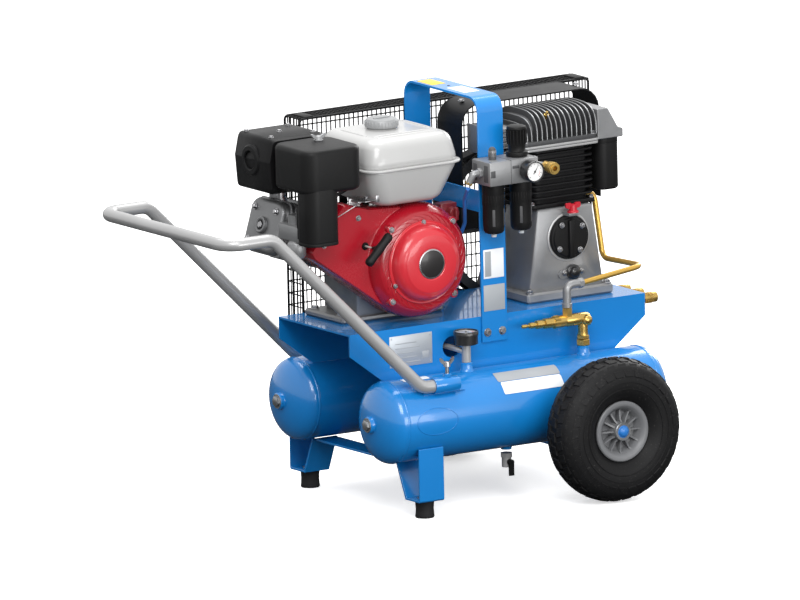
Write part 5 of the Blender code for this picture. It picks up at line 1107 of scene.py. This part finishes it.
# dark marks (the parting seam, small patches on the block, the bowl guards' windows) and painted shade in
# the relief dome's slots
dark_marks_and_slot_shade = finish("dark_marks_and_slot_shade", (0.06, 0.061, 0.064), 0.6, 0.0, 0.0, (700.0, 0.1), (20.0, 0.1))
clear_tip = finish("clear_tip", (0.62, 0.66, 0.68), 0.12, 0.0, 0.6, (900.0, 0.02), (20.0, 0.03))
unit = Shape()
unit.block((0.1025, -0.208, 0.6645), (0.2215, -0.1395, 0.7145), 0.003, 0.0025)
unit.block((0.154, -0.2084, 0.664), (0.1552, -0.139, 0.715), 0.0004, 0.0003, skin=1)
unit.block((0.158, -0.2087, 0.6965), (0.174, -0.207, 0.7025), 0.001, 0.0003, skin=1)
unit.block((0.105, -0.2087, 0.683), (0.116, -0.207, 0.697), 0.002, 0.0003, skin=1)
unit.block((0.1018, -0.201, 0.672), (0.103, -0.186, 0.707), 0.002, 0.0003, skin=1)
unit.block((0.1018, -0.16, 0.672), (0.103, -0.146, 0.707), 0.002, 0.0003, skin=1)
for x in (0.131, 0.198):
    unit.turned([(0, 0.001), (0.0236, 0.001), (0.0236, -0.002), (0, -0.002)],
                aimed((x, UNIT_Y, 0.665)), 48, 0)
for x in (0.108, 0.15, 0.216):
    for y in (-0.202, -0.146):
        unit.bolt((x, y, 0.7145), UP, 0.0028, 0.0014, False, 2)
unit.turned([(0, 0.026), (0.003, 0.0258), (0.006, 0.0235), (0.0076, 0.02), (0.008, 0.015), (0.008, 0),
             (0, 0)], aimed((0.131, UNIT_Y, 0.7148)), 32, 1)
# the dome's slots are dark bars on its skin: painted shade in place of openings
slot_bar = Shape()
slot_bar.block((0.0074, -0.0006, 0.006), (0.0083, 0.0006, 0.019), 0.0002, 0.0001)
unit.take(ring_of(slot_bar, 16, dark_marks_and_slot_shade), aimed((0.131, UNIT_Y, 0.7148)), 2)
unit.pipe(bent([(0.108, UNIT_Y, 0.69), (0.084, UNIT_Y, 0.69), (0.076, -0.168, 0.67)], 0.006, 5), 0.0072, 24)
unit.turned([(0, 0.008), (0.0095, 0.008), (0.0105, 0.007), (0.0105, 0.001), (0.0095, 0), (0, 0)],
            aimed((0.1025, UNIT_Y, 0.69), HANDLE_WAY), 6, 0)
unit.turned([(0, 0.006), (0.007, 0.006), (0.0082, 0.005), (0.0082, 0.001), (0.007, 0), (0, 0)],
            aimed((0.0775, -0.169, 0.673), (-0.35, 0.28, -0.88)), 6, 3)
unit.pipe(bent([(0.216, UNIT_Y, 0.69), (0.245, UNIT_Y, 0.69), (0.245, -0.1955, 0.69)], 0.008, 6), 0.007, 24)
unit.turned([(0, 0.006), (0.0095, 0.006), (0.0102, 0.005), (0.0102, 0.001), (0.0095, 0), (0, 0)],
            aimed((0.2215, UNIT_Y, 0.69), OUTER), 6, 0)
unit.done("air_unit_block", "chassis", (cast_light, dark_marks_and_slot_shade, zinc, brass), "cast_aluminium",
          ("frl_body",))

for node, x in (("filter_bowl", 0.131), ("lubricator_bowl", 0.198)):
    bowl = Shape()
    bowl.turned([(0, 0.56), (0.012, 0.56), (0.0185, 0.5625), (0.0215, 0.568), (0.0222, 0.58),
                 (0.0226, 0.644), (0.023, 0.6455), (0.023, 0.6634), (0, 0.6634)], aimed((x, UNIT_Y, 0)), 64)
    for side in (-0.55, 0.75):
        turn = aimed((x, UNIT_Y, 0)) @ Matrix.Rotation(radians(-90) + side, 4, "Z")
        bowl.block((0.0205, -0.003, 0.578), (0.0228, 0.003, 0.613), 0.0018, 0.0004, turn, skin=1)
    rib = Shape()
    rib.block((0.0218, -0.0009, 0.62), (0.023, 0.0009, 0.642), 0.0006, 0.0003)
    bowl.take(ring_of(rib, 24, black_moulded), aimed((x, UNIT_Y, 0)))
    bowl.turned([(0, 0.5525), (0.004, 0.5525), (0.0055, 0.5535), (0.006, 0.561), (0, 0.561)],
                aimed((x, UNIT_Y, 0)), 24, 2)
    bowl.done(node + "_guard", "chassis", (black_moulded, dark_marks_and_slot_shade, clear_tip), "smoked_plastic",
              (node,))

knob = Shape()
knob_at = aimed((0.191, UNIT_Y, 0.7153))
knob.turned([(0, 0.0635), (0.015, 0.0635), (0.019, 0.062), (0.0205, 0.059), (0.0205, 0.056), (0.019, 0.054),
             (0.0188, 0.025), (0.0178, 0.0225), (0.0172, 0.012), (0.018, 0.0105), (0.022, 0.0095),
             (0.0225, 0.008), (0.0225, 0.0015), (0.0218, 0.0002), (0, 0.0002)], knob_at, 72)
flute = Shape()
flute.pipe([(0.0187, 0, 0.0255), (0.0195, 0, 0.03), (0.02, 0, 0.042), (0.0202, 0, 0.055)], 0.0017, 10)
knob.take(ring_of(flute, 18, black_moulded), knob_at)
knob.done("pressure_knob", "regulator_knob", (black_moulded,), "black_plastic", ("regulator_knob",))

# ---------------------------------------------------------------- pressure gauges
# Two black cups with white dials, plain ticks and a black needle: one faces the operator on the
# air unit, the other looks up from the near tank.
dial_white = finish("dial_white", (0.8, 0.8, 0.79), 0.3, 0.0, 0.5, (900.0, 0.01), (20.0, 0.02))
dial_ink = finish("dial_ink", (0.012, 0.012, 0.013), 0.45, 0.0, 0.0, (900.0, 0.02), (20.0, 0.04))
dial_red = finish("dial_red", (0.55, 0.02, 0.02), 0.45, 0.0, 0.0, (900.0, 0.02), (20.0, 0.04))


def gauge(name, node, at, radius, depth, reading):
    """A cup along +Z of its place with a dial sunk under its rim."""
    cup = Shape()
    face = depth - 0.0034
    dial = radius - 0.0036
    cup.turned([(0, 0.0003), (radius - 0.004, 0.0003), (radius - 0.001, 0.002),
                (radius - 0.0008, depth - 0.009), (radius, depth - 0.0085), (radius, depth - 0.0014),
                (radius - 0.001, depth), (radius - 0.0026, depth), (dial, face), (0, face)], at, 72)
    cup.turned([(0, face + 0.0003), (dial, face + 0.0003), (dial, face - 0.0004), (0, face - 0.0004)], at,
               56, 1)
    for k in range(33):
        ray = at @ Matrix.Rotation(radians(225 - 270 * k / 32), 4, "Z")
        long = k % 4 == 0
        cup.block((dial * (0.72 if long else 0.82), -0.00022 * (2 if long else 1), face + 0.0002),
                  (dial * 0.93, 0.00022 * (2 if long else 1), face + 0.0005), 0.0001, 0.0001, ray, skin=2,
                  segments=1)
    for k in range(26, 32):
        ray = at @ Matrix.Rotation(radians(225 - 270 * (k + 0.5) / 32), 4, "Z")
        cup.block((dial * 0.62, -0.0007, face + 0.0002), (dial * 0.67, 0.0007, face + 0.0005), 0.0001,
                  0.0001, ray, skin=3, segments=1)
    ray = at @ Matrix.Rotation(radians(reading), 4, "Z")
    cup.prism([(-dial * 0.3, -0.0007), (dial * 0.3, -0.0006), (dial * 0.76, 0.0), (dial * 0.3, 0.0006),
               (-dial * 0.3, 0.0007)], face + 0.0008, face + 0.0013, "XY", 2, 0, ray)
    cup.turned([(0, 0.002), (0.0016, 0.002), (0.0022, 0.0014), (0.0022, 0.0002), (0, 0.0002)],
               at @ Matrix.Translation((0, 0, face)), 20, 2)
    cup.done(name, "chassis", (black_gloss, dial_white, dial_ink, dial_red), "black_plastic", (node,))


gauge("air_unit_gauge", "frl_gauge", aimed((0.195, -0.2088, 0.69), FRONT), 0.0225, 0.0288, 55)
gauge("tank_pressure_gauge", "tank_gauge", aimed((0.0605, -0.1686, 0.3364)), 0.026, 0.0288, 130)

# ---------------------------------------------------------------- hose coupler
# A brass quick coupler on the unit's outlet, with a knurled sleeve that slides back against its
# spring.
coupler = reworked("outlet_coupler")
coupler.done("coupler_socket_body", "chassis", (brass,), "brass", ("outlet_coupler",), 0.0004)
sleeve = reworked("coupler_sleeve")
knurl = Shape()
knurl.block((0.0118, -0.0006, 0.003), (0.0128, 0.0006, 0.015), 0.0004, 0.0003)
sleeve.take(ring_of(knurl, 36, brass), aimed((0.245, -0.214, 0.69), FRONT))
sleeve.done("coupler_grip", "coupler_sleeve", (brass,), "brass", ("coupler_sleeve",), 0.0005)


# ---------------------------------------------------------------- check valve and air lines
# Turned brass: a hexagon nut on the near tank, a stepped unloader pointing at the handle, a grey
# elbow and the golden delivery tube from the pump; a second line joins the two tanks.
def hexagon(shape, place, axis, radius, length, skin):
    """A hexagon nut with chamfered ends, from its place along the axis."""
    shape.turned([(0, length), (radius * 0.88, length), (radius, length - radius * 0.1),
                  (radius, radius * 0.1), (radius * 0.88, 0), (0, 0)], aimed(place, axis), 6, skin)


VALVE_Y, RUN_Z = -0.1686, 0.356
valve = Shape()
hexagon(valve, (0.3463, VALVE_Y, 0.3004), UP, 0.015, 0.013, 0)
hexagon(valve, (0.3463, VALVE_Y, 0.314), UP, 0.014, 0.008, 0)
valve.turned([(0, 0.36), (0.009, 0.36), (0.011, 0.348), (0.01, 0.33), (0.0108, 0.322), (0, 0.322)],
             aimed((0.3463, VALVE_Y, 0)), 40)
valve.turned([(0, 0.092), (0.0085, 0.092), (0.0105, 0.089), (0.0125, 0.088), (0.0125, 0.064),
              (0.0112, 0.062), (0.0112, 0.058), (0.0125, 0.056), (0.0125, 0.008), (0.01, 0.002), (0.005, 0),
              (0, 0)], aimed((0.362, VALVE_Y, RUN_Z), HANDLE_WAY), 44)
valve.turned([(0, 0.077), (0.0026, 0.077), (0.004, 0.0755), (0.004, 0.066), (0.003, 0.065), (0.003, 0.06),
              (0.006, 0.059), (0.0062, 0.048), (0.005, 0.047), (0.005, 0.043), (0.0085, 0.042),
              (0.0088, 0.03), (0.0072, 0.029), (0.0072, 0.024), (0.0105, 0.023), (0.0105, 0), (0, 0)],
             aimed((0.2745, VALVE_Y, RUN_Z), HANDLE_WAY), 36)
hexagon(valve, (0.288, VALVE_Y, RUN_Z), HANDLE_WAY, 0.0138, 0.015, 0)
valve.turned([(0, 0.015), (0.004, 0.0148), (0.0085, 0.0125), (0.0112, 0.008), (0.0118, 0.003), (0.01, 0),
              (0, 0)], aimed((0.349, VALVE_Y - 0.005, RUN_Z - 0.002), (0.35, -0.9, -0.2)), 36)
hexagon(valve, (0.309, VALVE_Y, 0.364), UP, 0.011, 0.019, 0)
valve.pipe(bent([(0.309, VALVE_Y, 0.38), (0.309, VALVE_Y, 0.43), (0.3485, VALVE_Y, 0.43)], 0.014,
                8), 0.0088, 28, 1)
valve.turned([(0.0088, 0.0095), (0.0105, 0.0085), (0.0105, 0.001), (0.0088, 0)],
             aimed((0.309, VALVE_Y, 0.383)), 32, 1, True)
hexagon(valve, (0.337, VALVE_Y, 0.43), OUTER, 0.0105, 0.011, 1)
valve.done("check_valve_body", "chassis", (brass, cast_light), "brass", ("check_valve",))

gold = finish("gold_tube", (0.62, 0.38, 0.08), 0.3, 0.75, 0.1, (500.0, 0.04), (14.0, 0.08))
tube = Shape()
tube.pipe(bent([(0.3485, VALVE_Y, 0.43), (0.495, VALVE_Y, 0.448), (0.495, -0.02, 0.442),
                (0.495, 0.01, 0.578), (0.4523, 0.01, 0.578)], 0.022, 10), 0.006, 24)
tube.done("delivery_pipe", "chassis", (gold,), "brass", ("delivery_tube",))
reworked("balance_pipe").done("balance_line", "chassis", (satin_silver,), "brass", ("balance_pipe",),
                              0.0004)
hose = Shape()
hose.pipe(bent([(0.0745, -0.1665, 0.659), (0.09, -0.13, 0.63), (0.118, -0.085, 0.57), (0.118, -0.025, 0.48),
                (0.118, 0.01, 0.43), (0.118, 0.01, 0.3823)], 0.03, 10), 0.004, 18)
blue_hose = finish("hose_blue", (0.03, 0.15, 0.48), 0.35, 0.0, 0.2, (900.0, 0.03), (20.0, 0.05))
hose.done("blue_air_line", "chassis", (blue_hose,), "blue_hose", ("supply_hose",))

# ---------------------------------------------------------------- outlets, drain and control box
# Three brass quick outlets on a bar under the platform's outer end, a ball cock with a black lever
# under the near tank, and a small black box between the legs of the roll bar.
outlets = reworked("outlet_manifold")
for y in (-0.102, -0.052, -0.002):
    knurl = Shape()
    knurl.block((0.0108, -0.0006, 0.008), (0.0117, 0.0006, 0.028), 0.0004, 0.0003)
    outlets.take(ring_of(knurl, 32, brass), aimed((0.53, y, 0.364), OUTER))
    hexagon(outlets, (0.519, y, 0.364), OUTER, 0.0098, 0.009, 0)
outlets.done("outlet_bar", "chassis", (brass,), "brass", ("outlet_manifold",), 0.0004)
cock = reworked("drain_cock")
cock.done("drain_cock_body", "chassis", (satin_silver,), "zinc_steel", ("drain_cock",), 0.0004)
reworked("drain_lever").done("drain_handle", "drain_lever", (black_moulded,), "black_plastic",
                             ("drain_lever",), 0.001)
box = Shape()
box.block((0.1293, -0.054, 0.548), (0.177, 0.05, 0.606), 0.005, 0.003)
box.block((0.17, -0.0546, 0.5474), (0.1715, 0.0506, 0.6066), 0.005, 0.0003)
for y in (-0.048, 0.044):
    for z in (0.5535, 0.6005):
        box.bolt((0.177, y, z), OUTER, 0.0026, 0.001, False, 1)
box.done("control_box_case", "chassis", (black_moulded, zinc), "black_plastic", ("control_box",))
